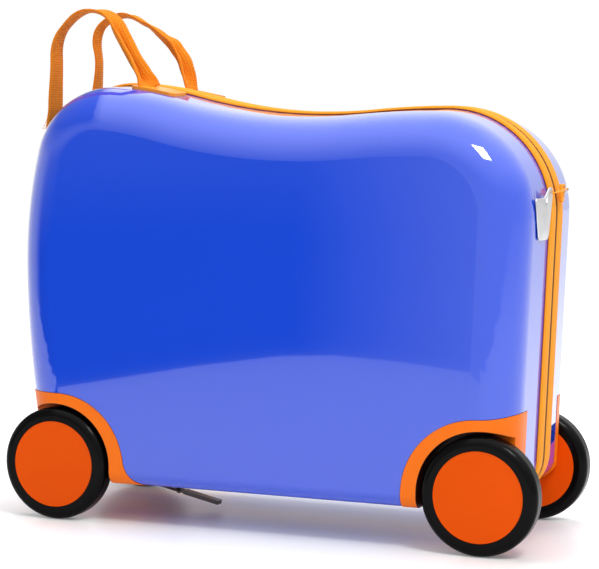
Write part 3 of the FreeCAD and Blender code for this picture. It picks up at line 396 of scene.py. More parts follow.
@dataclass(frozen=True, kw_only=True)
class HousingPlastic(MouldedSatin):
    """Satin plastic of the wheel housings, with painted shade inside the wheel wells."""

    # Painted shade: a dark colour inside the wheel wells, where the housing falls in the wheel's shadow.
    well_shade_colour: Colour = (0.035, 0.006, 0.003)
    well_radius: float = 51.3 * MM
    well_back: float = 70.3 * MM
    well_end: Point = (208 * MM, 190 * MM)
    axle_place: float = 186 * MM
    axle_height: float = 47.5 * MM

    def tone(self, coating: Coating, texture: Socket) -> Socket:
        """Colour over the surface, with painted shade in the wheel wells where the wheel runs.

        Args:
            coating: The material being built.
            texture: Socket of the relief's pattern.

        Returns:
            Socket of the colour.
        """
        axes = coating.axes(Coords.OBJECT)
        distance = coating.calc("ABSOLUTE", axes["X"])
        along = coating.calc("SUBTRACT", distance, self.axle_place)
        rise = coating.calc("MAXIMUM", coating.calc("SUBTRACT", axes["Z"], self.axle_height), 0.0)
        under_arch = coating.calc("LESS_THAN", coating.reach(along, rise), self.well_radius)
        outside = coating.calc("GREATER_THAN", coating.calc("ABSOLUTE", axes["Y"]), self.well_back)
        before_end = coating.ramp(distance, *self.well_end)
        # Mask of the painted shade in the wheel well, under the arch and behind the wheel.
        well = coating.product(under_arch, outside, before_end)
        return coating.mix(well, super().tone(coating, texture), self.well_shade_colour)


@dataclass(frozen=True, kw_only=True)
class Rubber(Grained):
    """Black tyre rubber with dusty scuffs and a slight sheen."""

    colour: Colour = (0.002, 0.002, 0.0022)
    dust: Colour = (0.004, 0.0039, 0.0038)
    scuff_scales: Point = (35.0, 320.0)
    roughness: float = 0.17
    spread: Point = (1.0, 1.6)
    haze_scale: float = 90.0
    relief_scale: float = 900.0
    relief_detail: float = 2.0
    relief_depth: float = 0.05 * MM
    relief_strength: float = 0.35
    specular: float = 0.03
    sheen: float = 0.09
    sheen_roughness: float = 0.07

    def tone(self, coating: Coating, texture: Socket) -> Socket:
        """Black, with dust in the scuffs."""
        scuffs = coating.product(*(coating.grain(scale) for scale in self.scuff_scales))
        return coating.mix(scuffs, self.colour, self.dust)

    def gloss(self) -> dict[str, float]:
        """Faint shine under a thin sheen."""
        sheen = {"Coat_Weight": self.sheen, "Coat_Roughness": self.sheen_roughness}
        return sheen | {"Specular_IOR_Level": self.specular}


@dataclass(frozen=True, kw_only=True)
class Weave(Finish):
    """Woven tape or webbing, with ribs across it and threads along it."""

    # Painted shade: colour of the gaps between the threads.
    shadow: Colour
    rib_pitch: float
    thread_pitch: float
    gap_share: float = 0.35
    unevenness: float = 0.08
    tone_scale: float = 40.0
    roughness: float = 0.72
    spread: Point = (1.15, 1.0)
    relief_strength: float = 0.8
    specular: float = 0.15
    sheen: float = 0.06
    sheen_roughness: float = 0.4

    def texture(self, coating: Coating) -> Socket:
        """Height of the threads."""
        return coating.product(coating.ribs(self.rib_pitch, "X"), coating.ribs(self.thread_pitch, "Y"))

    def tone(self, coating: Coating, texture: Socket) -> Socket:
        """Colour of the threads, with painted shade in the gaps between them."""
        threads = coating.blotches(self.colour, self.unevenness, self.tone_scale)
        return coating.mix(coating.span(texture, self.gap_share, 1.0), self.shadow, threads)

    def gloss(self) -> dict[str, float]:
        """Dull shine with a little fuzz."""
        fuzz = {"Sheen_Weight": self.sheen, "Sheen_Roughness": self.sheen_roughness}
        return fuzz | {"Specular_IOR_Level": self.specular}


@dataclass(frozen=True, kw_only=True)
class EdgedTape(Weave):
    """Woven tape with painted shade along its edge."""

    # Painted shade: a darker band along the tape's edge, standing in for its side face in shadow.
    edge: Point = (18.6 * MM, 18.95 * MM)
    edge_colour: Colour = (0.62, 0.10, 0.006)

    def tone(self, coating: Coating, texture: Socket) -> Socket:
        """Colour of the threads, with painted shade along the edge."""
        edge = coating.patch(Coords.UV, Y=self.edge)
        return coating.mix(edge, super().tone(coating, texture), self.edge_colour)


@dataclass(frozen=True, kw_only=True)
class Cloth(Finish):
    """Plain thin lining cloth."""

    pitch: float = 0.9 * MM
    # Painted shade in the gaps between the threads, and a painted highlight on their tops.
    gap_shading: Point = (0.75, 1.1)
    roughness: float = 0.8
    spread: Point = (0.9, 1.1)
    haze_scale: float = 25.0
    relief_depth: float = 0.15 * MM
    relief_strength: float = 0.6
    fuzz: float = 0.2

    def texture(self, coating: Coating) -> Socket:
        """Height of the threads."""
        return coating.product(*(coating.ribs(self.pitch, axis, Coords.OBJECT) for axis in "XZ"))

    def haze(self, coating: Coating, texture: Socket) -> Socket:
        """Soft wear of the cloth."""
        return coating.grain(self.haze_scale)

    def tone(self, coating: Coating, texture: Socket) -> Socket:
        """Colour of the threads, with painted shade in the gaps between them and lighter thread tops."""
        return coating.mix(texture, *(shade(self.colour, factor) for factor in self.gap_shading))

    def gloss(self) -> dict[str, float]:
        """Light fuzz."""
        return {"Sheen_Weight": self.fuzz}


@dataclass(frozen=True, kw_only=True)
class Metal(Finish):
    """Metal with fine drawn lines."""

    stretch: Triple = (1, 1, 0.04)
    line_scale: float = 1800.0
    line_detail: float = 2.0
    tone_scale: float = 120.0
    dull_share: float = 0.88
    spread: Point = (0.8, 1.3)
    relief_depth: float = 0.02 * MM
    relief_strength: float = 0.25

    def texture(self, coating: Coating) -> Socket:
        """Drawn lines."""
        return coating.grain(self.line_scale, self.line_detail, self.stretch)

    def tone(self, coating: Coating, texture: Socket) -> Socket:
        """Colour with duller patches."""
        dull = shade(self.colour, self.dull_share)
        return coating.mix(coating.grain(self.tone_scale), dull, self.colour)

    def gloss(self) -> dict[str, float]:
        """Bare metal."""
        return {"Metallic": 1.0}


@dataclass(frozen=True)
class Finishes:
    """Every finish of the case, by its slot of the record or by the detail that has it."""

    shell: Finish = MouldedGloss(name="blue_gloss_shell", colour=(0.008, 0.068, 0.70))
    trim: Finish = HousingPlastic(
        name="orange_housing_plastic", colour=(0.97, 0.18, 0.001), roughness=0.32, specular=0.2
    )
    hub: Finish = MouldedSatin(
        name="orange_wheel_disc", colour=(0.81, 0.088, 0.0), roughness=0.45, specular=0.08
    )
    tape: Finish = EdgedTape(
        name="orange_zip_tape", colour=(1.0, 0.43, 0.032), shadow=(0.85, 0.25, 0.012),
        rib_pitch=0.7 * MM, thread_pitch=0.9 * MM, relief_depth=0.10 * MM,
    )
    teeth: Finish = MouldedSatin(name="zip_coil_nylon", colour=(0.13, 0.04, 0.006), roughness=0.35)
    webbing: Finish = Weave(
        name="orange_webbing", colour=(1.0, 0.36, 0.018), shadow=(0.62, 0.11, 0.004),
        rib_pitch=2.0 * MM, thread_pitch=2.4 * MM, relief_depth=0.40 * MM,
    )
    thread: Finish = MouldedSatin(name="orange_thread", colour=(0.95, 0.40, 0.05), roughness=0.6)
    enamel: Finish = MouldedSatin(
        name="orange_zip_enamel", colour=(1.0, 0.36, 0.025), roughness=0.40, specular=0.1
    )
    tab: Finish = MouldedSatin(
        name="orange_strap_tab", colour=(1.0, 0.31, 0.015), roughness=0.30, specular=0.4
    )
    tyre: Finish = Rubber(name="black_tyre_rubber")
    silver: Finish = Metal(name="silver_zip_pull", colour=(0.60, 0.60, 0.61), roughness=0.30)
    dark_metal: Finish = Metal(
        name="dark_nickel", colour=(0.13, 0.12, 0.12), roughness=0.30, stretch=(0.04, 1, 1)
    )
    steel: Finish = Metal(name="zinc_steel", colour=(0.55, 0.55, 0.57), roughness=0.35)
    bush: Finish = MouldedSatin(name="white_bush_nylon", colour=(0.78, 0.76, 0.70), roughness=0.5)
    lining: Finish = Cloth(name="grey_lining_cloth", colour=(0.085, 0.095, 0.12))

    def materials(self) -> Materials:
        """Materials by the names of the finishes."""
        return {field.name: getattr(self, field.name).material() for field in fields(self)}


# Meshes


@contextmanager
def editing(mesh: bpy.types.Mesh) -> Iterator[bmesh.types.BMesh]:
    """Open a mesh for changes and write them back.

    Args:
        mesh: The mesh.

    Yields:
        Its corners and faces, to be changed.
    """
    work = bmesh.new()
    work.from_mesh(mesh)
    yield work
    work.to_mesh(mesh)
    work.free()


def add_object(name: str, data: bpy.types.ID) -> Piece:
    """Put an object into the scene.

    Args:
        name: Name of the object.
        data: Its mesh, light or camera.

    Returns:
        The new object.
    """
    item = bpy.data.objects.new(name, data)
    bpy.context.scene.collection.objects.link(item)
    return item


class Skin:
    """Mesh in the making, gathered from closed tubes."""

    def __init__(self) -> None:
        """Start without corners and faces."""
        self.verts: list[Vector] = []
        self.faces: list[tuple[int, ...]] = []
        self.uvs: list[Point] = []

    def tube(self, rings: Sequence[Sequence[Vector]], uvs: Sequence[Point] = ()) -> "Skin":
        """Add a tube through rings of the same number of points, with both ends capped.

        Args:
            rings: Points of each ring, in order.
            uvs: One pattern place for each point, if the finish needs it.

        Returns:
            This skin, with the tube in it.
        """
        count = len(rings[0])
        rows = []
        for ring in rings:
            rows.append(range(len(self.verts), len(self.verts) + count))
            self.verts += ring
        for low, high in zip(rows, rows[1:]):
            for j in range(count):
                k = (j + 1) % count
                self.faces.append((low[j], low[k], high[k], high[j]))
        self.faces += [tuple(rows[0]), tuple(rows[-1])]
        self.uvs += uvs
        return self

    def piece(self, name: str) -> Piece:
        """Make a smooth-shaded object, with its seams closed and its faces turned outwards.

        Args:
            name: Name of the piece.

        Returns:
            The new object.
        """
        mesh = bpy.data.meshes.new(name)
        mesh.from_pydata(self.verts, [], self.faces)
        mesh.polygons.foreach_set("use_smooth", [True] * len(mesh.polygons))
        if self.uvs:
            layer = mesh.uv_layers.new(name="length_and_width")
            for loop in mesh.loops:
                layer.data[loop.index].uv = self.uvs[loop.vertex_index]
        with editing(mesh) as work:
            bmesh.ops.remove_doubles(work, verts=work.verts, dist=SAME_PLACE)
            bmesh.ops.recalc_face_normals(work, faces=work.faces)
        return add_object(name, mesh)


def ease(value: float) -> float:
    """Smooth step from 0 to 1."""
    value = min(1.0, max(0.0, value))
    return value * value * (3 - 2 * value)


def coat_piece(piece: Piece, material: bpy.types.Material) -> None:
    """Give a piece its material.

    Args:
        piece: The piece.
        material: Its finish.
    """
    piece.data.materials.clear()
    piece.data.materials.append(material)


def dress_piece(
    piece: Piece, body: str, material: bpy.types.Material, node: str = ""
) -> None:
    """Give a piece its material and its body.

    Args:
        piece: The piece.
        body: Body that it moves with.
        material: Its finish.
        node: Part that the piece stands for, if there is one.
    """
    coat_piece(piece, material)
    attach(piece, body)
    if node:
        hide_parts(node)


# Seam outline


@dataclass(frozen=True)
class Station:
    """One place on a run of arcs and lines."""

    place: Vector
    outward: Vector
    run: float


@dataclass(frozen=True)
class Bend:
    """One arc, drawn in X and Z."""

    centre: Vector
    radius: float
    start: float
    stop: float
    hollow: bool = False

    @property
    def length(self) -> float:
        """Length along the arc."""
        return self.radius * abs(self.stop - self.start)

    def at(self, share: float) -> tuple[Vector, Vector]:
        """Place and outward direction at a share of the arc.

        Args:
            share: Share of its length.

        Returns:
            The place and the direction.
        """
        angle = self.start + (self.stop - self.start) * share
        ray = Vector((math.cos(angle), math.sin(angle)))
        return self.centre + ray * self.radius, -ray if self.hollow else ray


@dataclass(frozen=True)
class Stretch:
    """One straight line, drawn in X and Z, with its outside on the right or the left."""

    start: Vector
    stop: Vector
    left: bool = False

    @property
    def length(self) -> float:
        """Length along the line."""
        return (self.stop - self.start).length

    def at(self, share: float) -> tuple[Vector, Vector]:
        """Place and outward direction at a share of the line.

        Args:
            share: Share of its length.

        Returns:
            The place and the direction.
        """
        along = (self.stop - self.start).normalized()
        right = Vector((along.y, -along.x))
        return self.start.lerp(self.stop, share), -right if self.left else right


def heading(start: Vector, end: Vector) -> float:
    """Angle of the line from one place to another."""
    return math.atan2(end.y - start.y, end.x - start.x)


def walk(parts: Sequence[Bend | Stretch], count: int) -> list[Station]:
    """Evenly spaced places along arcs and lines.

    Args:
        parts: Arcs and lines in order.
        count: Number of steps from end to end.

    Returns:
        The places, with their outward directions.
    """
    total = sum(part.length for part in parts)
    found = []
    index = 0
    passed = 0.0
    for number in range(count + 1):
        run = total * number / count
        while index < len(parts) - 1 and run > passed + parts[index].length:
            passed += parts[index].length
            index += 1
        share = min(1.0, (run - passed) / parts[index].length)
        found.append(Station(*parts[index].at(share), run))
    return found


@dataclass
class SeamOutline:
    """The case's outline at the seam, as smooth arcs and lines."""

    tail_end: float = 0.2205
    tail_height: float = 0.351
    tail_top_radius: float = 0.085
    tail_lean: float = math.radians(1.9)
    saddle_place: float = 0.025
    saddle_height: float = 0.3455
    saddle_radius: float = 0.460
    hump_height: float = 0.3695
    hump_radius: float = 0.305
    front_top_radius: float = 0.072
    front_end: float = 0.2303
    bow_height: float = 0.220
    upper_bow_radius: float = 0.400
    lower_bow_radius: float = 0.800
    underside: float = 0.0335
    bottom_radius: float = 0.036
    hinge_half: float = 0.112
    draft: float = math.radians(3.0)

    def front_corner(self, hump: Vector, bow: Vector) -> Vector:
        """Centre of the front top corner, which touches the hump and the upper bow.

        Args:
            hump: Centre of the front hump.
            bow: Centre of the upper bow.

        Returns:
            Centre of the corner.
        """
        hump_reach = self.hump_radius - self.front_top_radius
        bow_reach = self.upper_bow_radius - self.front_top_radius
        apart = bow - hump
        along = (hump_reach**2 - bow_reach**2 + apart.length**2) / (2 * apart.length)
        aside = math.sqrt(hump_reach**2 - along**2)
        unit = apart.normalized()
        return hump + unit * along + Vector((-unit.y, unit.x)) * aside

    def parts(self) -> list[Bend | Stretch]:
        """Arcs and lines of the zip's run, from the tail end of the hinge to its front end.

        Returns:
            Arcs and lines in order.
        """
        saddle = Vector((self.saddle_place, self.saddle_height + self.saddle_radius))
        tail = Vector((self.tail_end - self.tail_top_radius, self.tail_height - self.tail_top_radius))
        reach = tail.x - saddle.x
        drop = saddle.y - self.tail_height
        rear_radius = (reach**2 + drop**2 - self.saddle_radius**2) / (2 * (self.saddle_radius - drop))
        rear = Vector((tail.x, self.tail_height - rear_radius))
        hump_z = self.hump_height - self.hump_radius
        span = self.hump_radius + self.saddle_radius
        hump = Vector((saddle.x - math.sqrt(span**2 - (saddle.y - hump_z) ** 2), hump_z))
        upper = Vector((self.upper_bow_radius - self.front_end, self.bow_height))
        lower = Vector((self.lower_bow_radius - self.front_end, self.bow_height))
        corner = self.front_corner(hump, upper)

        low_z = self.underside + self.bottom_radius
        wall = Vector((math.cos(self.tail_lean), -math.sin(self.tail_lean)))
        closer = self.tail_top_radius - self.bottom_radius
        toe = Vector((tail.x + (closer + (tail.y - low_z) * wall.y) / wall.x, low_z))
        inner = self.lower_bow_radius - self.bottom_radius
        heel = Vector((lower.x - math.sqrt(inner**2 - (lower.y - low_z) ** 2), low_z))

        saddle_from = heading(saddle, rear) % FULL_TURN
        saddle_to = heading(saddle, hump) % FULL_TURN
        bow_to = heading(lower, heel) % FULL_TURN
        return [
            Stretch(Vector((self.hinge_half, self.underside)), Vector((toe.x, self.underside))),
            Bend(toe, self.bottom_radius, -math.pi / 2, -self.tail_lean),
            Stretch(toe + wall * self.bottom_radius, tail + wall * self.tail_top_radius),
            Bend(tail, self.tail_top_radius, -self.tail_lean, math.pi / 2),
            Bend(rear, rear_radius, math.pi / 2, heading(rear, saddle)),
            Bend(saddle, self.saddle_radius, saddle_from, saddle_to, hollow=True),
            Bend(hump, self.hump_radius, heading(hump, saddle), heading(hump, corner)),
            Bend(corner, self.front_top_radius, heading(hump, corner), heading(upper, corner)),
            Bend(upper, self.upper_bow_radius, heading(upper, corner), math.pi),
            Bend(lower, self.lower_bow_radius, math.pi, bow_to),
            Bend(heel, self.bottom_radius, bow_to, 1.5 * math.pi),
            Stretch(Vector((heel.x, self.underside)), Vector((-self.hinge_half, self.underside))),
        ]

    def stations(self, step: float) -> list[Station]:
        """Places along the zip's run, about one step from each other.

        Args:
            step: Distance from place to place.

        Returns:
            The places, with their outward directions.
        """
        parts = self.parts()
        total = sum(part.length for part in parts)
        return walk(parts, round(total / step))

    def on_skin(self, station: Station, side: Side, away: float, height: float) -> Vector:
        """Place of a half at a distance from the seam and a height over the drafted skin."""
        out = station.place + station.outward * (height - away * math.tan(self.draft))
        return Vector((out.x, side.value * away, out.y))


# Zip band and tape hinge


def thread_row(
    name: str, placed: Sequence[tuple[Vector, Vector, Vector]], length: float, radius: float
) -> Piece:
    """Short plump threads, each a six-sided spindle lying on a surface.

    Args:
        name: Name of the piece.
        placed: Middle, direction and surface normal of each stitch.
        length: Length of a stitch.
        radius: Radius at its middle.

    Returns:
        All stitches as one piece.
    """
    spindle = ((-0.5, 0.25), (-0.3, 0.9), (0.0, 1.0), (0.3, 0.9), (0.5, 0.25))
    sides = 6
    angles = [FULL_TURN * i / sides for i in range(sides)]
    skin = Skin()
    for middle, along, up in placed:
        across = along.cross(up).normalized()
        rays = [(across * math.cos(a) + up * math.sin(a)) * radius for a in angles]
        skin.tube([
            [middle + along * (share * length) + ray * plump for ray in rays]
            for share, plump in spindle
        ])
    return skin.piece(name)


@dataclass
class ZipBand:
    """Woven tapes round the seam, their coil, and the sewn hinge underneath.

    Sections are given in millimetres, as distances from the seam and heights over
    the skin. A tooth's section also has its share of the tooth's width.
    """

    outline: SeamOutline
    tape_step: float = 4 * MM
    tape_section: tuple[Point, ...] = (
        (2.45, 0.15), (2.45, 0.85), (3.0, 1.15), (4.4, 1.55), (6.0, 1.95), (9.0, 2.36), (14.0, 2.42),
        (15.2, 2.10), (15.9, 2.10), (16.8, 2.46), (17.5, 2.36), (18.1, 1.75), (18.7, 0.85), (19.0, 0.15),
    )
    hinge_section: tuple[Point, ...] = (
        (1.7, 0.15), (1.7, 2.20), (2.6, 2.45), (9.0, 2.48), (14.0, 2.45), (15.2, 2.15),
        (15.9, 2.15), (16.8, 2.46), (18.2, 2.40), (18.9, 1.90), (19.0, 0.15),
    )
    hinge_inset: float = 0.4 * MM
    bead_radius: float = 1.1 * MM
    bead_drop: float = 2.5 * MM
    bead_sides: int = 12
    coil_pitch: float = 1.55 * MM
    tooth_width: float = 0.95 * MM
    tooth_section: tuple[Triple, ...] = (
        (0.18, 0.20, 0.75), (0.18, 1.08, 0.70), (0.82, 1.35, 0.55), (1.7425, 1.1475, 0.75),
        (2.05, 0.20, 1.0),
    )
    stitch_row: float = 15.5 * MM
    stitch_height: float = 2.05 * MM
    stitch_pitch: float = 3.4 * MM
    stitch_length: float = 2.3 * MM
    stitch_radius: float = 0.28 * MM
    stitch_step: float = 0.4 * MM
    hinge_sewn_half: float = 110 * MM

    def sweep(self, side: Side, run: Sequence[Station], section: Sequence[Point]) -> Skin:
        """Sweep a tape's section along a run of the seam.

        Args:
            side: Half of the case.
            run: Places along the seam.
            section: The tape's section.

        Returns:
            The tape's skin.
        """
        rings = [
            [self.outline.on_skin(station, side, away * MM, up * MM) for away, up in section]
            for station in run
        ]
        uvs = [(station.run, away * MM) for station in run for away, _ in section]
        return Skin().tube(rings, uvs)

    def tape(self, side: Side) -> Piece:
        """Tape of one side of the zip."""
        run = self.outline.stations(self.tape_step)
        return self.sweep(side, run, self.tape_section).piece(f"woven_zip_tape_{side.tag}")

    def coil(self, side: Side) -> Piece:
        """Coil of one side: one rounded loop for each tooth, set between those of the other side.

        Args:
            side: Half of the case.

        Returns:
            The coil.
        """
        run = self.outline.stations(self.coil_pitch / 2)
        first = 1 if side is Side.NEAR else 2
        skin = Skin()
        for station in run[first:-1:2]:
            along = Vector((-station.outward.y, station.outward.x)) * (self.tooth_width / 2)
            rings = []
            for sign in (-1, 1):
                ring = []
                for away, up, narrow in self.tooth_section:
                    place = station.place + along * (sign * narrow)
                    moved = Station(place, station.outward, station.run)
                    ring.append(self.outline.on_skin(moved, side, away * MM, up * MM))
                rings.append(ring)
            skin.tube(rings)
        return skin.piece(f"zip_coil_{side.tag}")

    def hinge_run(self, half: float, step: float) -> list[Station]:
        """Places along the hinge, under the case.

        Args:
            half: Half the length of the run.
            step: Distance from place to place.

        Returns:
            The places from the tail towards the front.
        """
        start = Vector((half, self.outline.underside))
        stop = Vector((-half, self.outline.underside))
        return walk([Stretch(start, stop, left=True)], round(2 * half / step))

    def hinge(self, side: Side) -> Piece:
        """Sewn hinge tape of one side. The far one carries the folded bead on the hinge line.

        Args:
            side: Half of the case.

        Returns:
            The hinge tape.
        """
        run = self.hinge_run(self.outline.hinge_half - self.hinge_inset, self.tape_step)
        skin = self.sweep(side, run, self.hinge_section)
        if side is Side.FAR:
            level = self.outline.underside - self.bead_drop
            angles = [FULL_TURN * i / self.bead_sides for i in range(self.bead_sides)]
            section = [(math.cos(a) * self.bead_radius, math.sin(a) * self.bead_radius) for a in angles]
            rings = [
                [Vector((station.place.x, across, level + up)) for across, up in section]
                for station in run
            ]
            skin.tube(rings, [(station.run, self.bead_radius * a) for station in run for a in angles])
        return skin.piece(f"sewn_hinge_tape_{side.tag}")

    def stitches(self, name: str, side: Side, run: Sequence[Station]) -> Piece:
        """Row of lock stitches sunk in a tape's sewing line.

        Args:
            name: Name of the piece.
            side: Half of the case.
            run: Closely spaced places along the seam.

        Returns:
            The stitches, as one piece.
        """
        placed = []
        reached = self.stitch_pitch / 2
        for station in run:
            if station.run >= reached:
                reached += self.stitch_pitch
                out = Vector((station.outward.x, 0, station.outward.y))
                middle = self.outline.on_skin(station, side, self.stitch_row, self.stitch_height)
                placed.append((middle, SIDEWAYS.cross(out).normalized(), out))
        return thread_row(name, placed, self.stitch_length, self.stitch_radius)

    def build(self, materials: Materials) -> None:
        """Make and dress every piece of the band.

        Args:
            materials: Materials by finish.
        """
        sewn = {
            "zip": self.outline.stations(self.stitch_step),
            "hinge": self.hinge_run(self.hinge_sewn_half, self.stitch_step),
        }
        for side in Side:
            body = f"{side.tag}_half"
            dress_piece(self.tape(side), body, materials["tape"], f"zip_tape_{side.tag}")
            dress_piece(self.coil(side), body, materials["teeth"], f"zip_teeth_{side.tag}")
            dress_piece(self.hinge(side), body, materials["tape"], f"hinge_tape_{side.tag}")
            for name, run in sewn.items():
                stitches = self.stitches(f"{name}_stitches_{side.tag}", side, run)
                dress_piece(stitches, body, materials["thread"])
            LOG.info("zip band, %s side: tape, coil, hinge and stitches", side.tag)


# Tail zip pull


@dataclass
class TailPull:
    """Silver pull beside the tail zip, its wire arm, and the slider that carries it.

    Places are given about the pin, in millimetres: outwards from the wall, across
    the case, and up along the wall. An outline goes across and up. Rings give an
    outline's scale, and its level: outwards, or for the blade 1 at the edge and 2
    at the ridge.
    """

    pin: Triple = (229.336 * MM, 0.0, 286.65 * MM)
    lean: float = math.radians(1.9)
    blade_slope: float = math.tan(math.radians(6.5))
    blade_back: float = -4.4
    blade_edge: float = 1.2
    blade_ridge: float = 2.9
    blade_middle: Point = (-40.0, -22.0)
    blade_shrink_up: float = 0.5
    blade_outline: tuple[Point, ...] = (
        (-49.6, -37.0), (-59.0, -8.4), (-57.6, -7.0), (-42.0, -7.0), (-37.0, -4.4), (-32.0, 0.6),
        (-29.0, 1.6), (-25.6, 1.4), (-23.4, -0.6), (-22.6, -5.0), (-24.0, -16.0), (-26.6, -36.0),
        (-27.8, -39.0), (-31.0, -40.3), (-45.0, -40.3), (-48.2, -39.4),
    )
    blade_rings: tuple[Point, ...] = (
        (0.97, 0.0), (1.0, 0.25), (1.0, 0.8), (0.955, 1.0), (0.90, 1.05), (0.5, 1.55), (0.06, 2.0),
    )
    arm_route: tuple[Triple, ...] = (
        (-4.4, -30.0, -3.0), (-3.4, -24.0, -2.4), (-1.8, -15.0, -1.4), (-0.3, -8.0, -0.2),
        (0.0, -4.8, 0.0), (0.0, 0.0, 0.0), (0.0, 4.8, 0.0),
    )
    arm_radius: float = 0.6 * MM
    arm_sides: int = 10
    plate_outline: tuple[Point, ...] = (
        (-4.2, 3.75), (4.2, 3.75), (5.0, 2.9), (5.0, -2.0), (3.6, -9.0), (2.6, -11.2),
        (-2.6, -11.2), (-3.6, -9.0), (-5.0, -2.0), (-5.0, 2.9),
    )
    plate_rings: tuple[Point, ...] = (
        (0.94, -5.3), (1.0, -5.0), (1.0, -3.3), (0.94, -2.75), (0.86, -2.7),
    )
    bridge_route: tuple[Point, ...] = (
        (-3.2, 2.2), (-1.2, 1.8), (0.5, 1.1), (1.1, 0.0), (0.8, -1.2), (-0.4, -2.4), (-1.8, -3.4),
        (-3.2, -4.2),
    )
    bridge_width: float = 2.2
    bridge_thickness: float = 0.7

    def spot(self, out: float, across: float, up: float) -> Vector:
        """Place in the case's frame of a place about the pin."""
        turn = Matrix.Rotation(self.lean, 3, "Y")
        return Vector(self.pin) + turn @ Vector((out, across, up)) * MM

    def blade(self) -> Piece:
        """Tapered blade with a soft ridge, leaning from the tape down to the shell.

        Returns:
            The blade.
        """
        middle_y, middle_z = self.blade_middle
        rings = []
        for scale, level in self.blade_rings:
            rise = self.blade_edge * min(level, 1.0)
            rise += (self.blade_ridge - self.blade_edge) * max(0.0, level - 1.0)
            scale_up = 1 - self.blade_shrink_up * (1 - scale)
            ring = []
            for y, z in self.blade_outline:
                across = middle_y + (y - middle_y) * scale
                up = middle_z + (z - middle_z) * scale_up
                ring.append(self.spot(self.blade_back + across * self.blade_slope + rise, across, up))
            rings.append(ring)
        return Skin().tube(rings).piece("silver_pull_blade")

    def arm(self) -> Piece:
        """Bent wire from the blade's ear to the pin in the slider.

        Returns:
            The wire.
        """
        spots = [self.spot(*place) for place in self.arm_route]
        angles = [FULL_TURN * j / self.arm_sides for j in range(self.arm_sides)]
        first = (spots[1] - spots[0]).orthogonal()
        rings = []
        for i, here in enumerate(spots):
            along = (spots[min(i + 1, len(spots) - 1)] - spots[max(i - 1, 0)]).normalized()
            first = (first - along * first.dot(along)).normalized()
            second = along.cross(first)
            rays = [first * math.cos(a) + second * math.sin(a) for a in angles]
            rings.append([here + ray * self.arm_radius for ray in rays])
        return Skin().tube(rings).piece("pull_arm")

    def plate(self) -> Piece:
        """Tapered plate of the slider.

        Returns:
            The plate.
        """
        rings = [
            [self.spot(level, y * scale, z * scale) for y, z in self.plate_outline]
            for scale, level in self.plate_rings
        ]
        return Skin().tube(rings).piece("zip_slider")

    def bridge(self) -> Piece:
        """Arched bridge of the slider, over the pin.

        Returns:
            The bridge.
        """
        half = self.bridge_width / 2
        route = [Vector(place) for place in self.bridge_route]
        bows = []
        for i, here in enumerate(route):
            along = (route[min(i + 1, len(route) - 1)] - route[max(i - 1, 0)]).normalized()
            lift = Vector((along.y, -along.x)) * (self.bridge_thickness / 2)
            bows.append([
                self.spot(here.x + sign * lift.x, across, here.y + sign * lift.y)
                for sign, across in ((1, -half), (1, half), (-1, half), (-1, -half))
            ])
        return Skin().tube(bows).piece("slider_bridge")

    def build(self, materials: Materials) -> None:
        """Make and dress the pull and its slider.

        Args:
            materials: Materials by finish.
        """
        dress_piece(self.blade(), "tail_pull", materials["silver"], "tail_pull")
        dress_piece(self.arm(), "tail_pull", materials["enamel"])
        dress_piece(self.plate(), "tail_slider", materials["enamel"], "tail_slider")
        dress_piece(self.bridge(), "tail_slider", materials["silver"])
        LOG.info("tail zip: pull and slider")


# Grab straps


@dataclass(frozen=True)
class Drape:
    """How the webbing is folded, turned, shifted and sags inwards at a share of a strap's length.

    Angles are in degrees, and the shift and the sag in millimetres.
    """

    share: float
    fold: float
    turn: float = 0.0
    shift: float = 0.0
    sag: float = 0.0

    def towards(self, other: "Drape", share: float) -> "Drape":
        """Drape at a place between this one and the next.

        Args:
            other: The next drape.
            share: Share of the strap's length.

        Returns:
            The drape there.
        """
        part = ease((share - self.share) / (other.share - self.share))
        pairs = zip(astuple(self)[1:], astuple(other)[1:])
        return Drape(share, *(low + (high - low) * part for low, high in pairs))


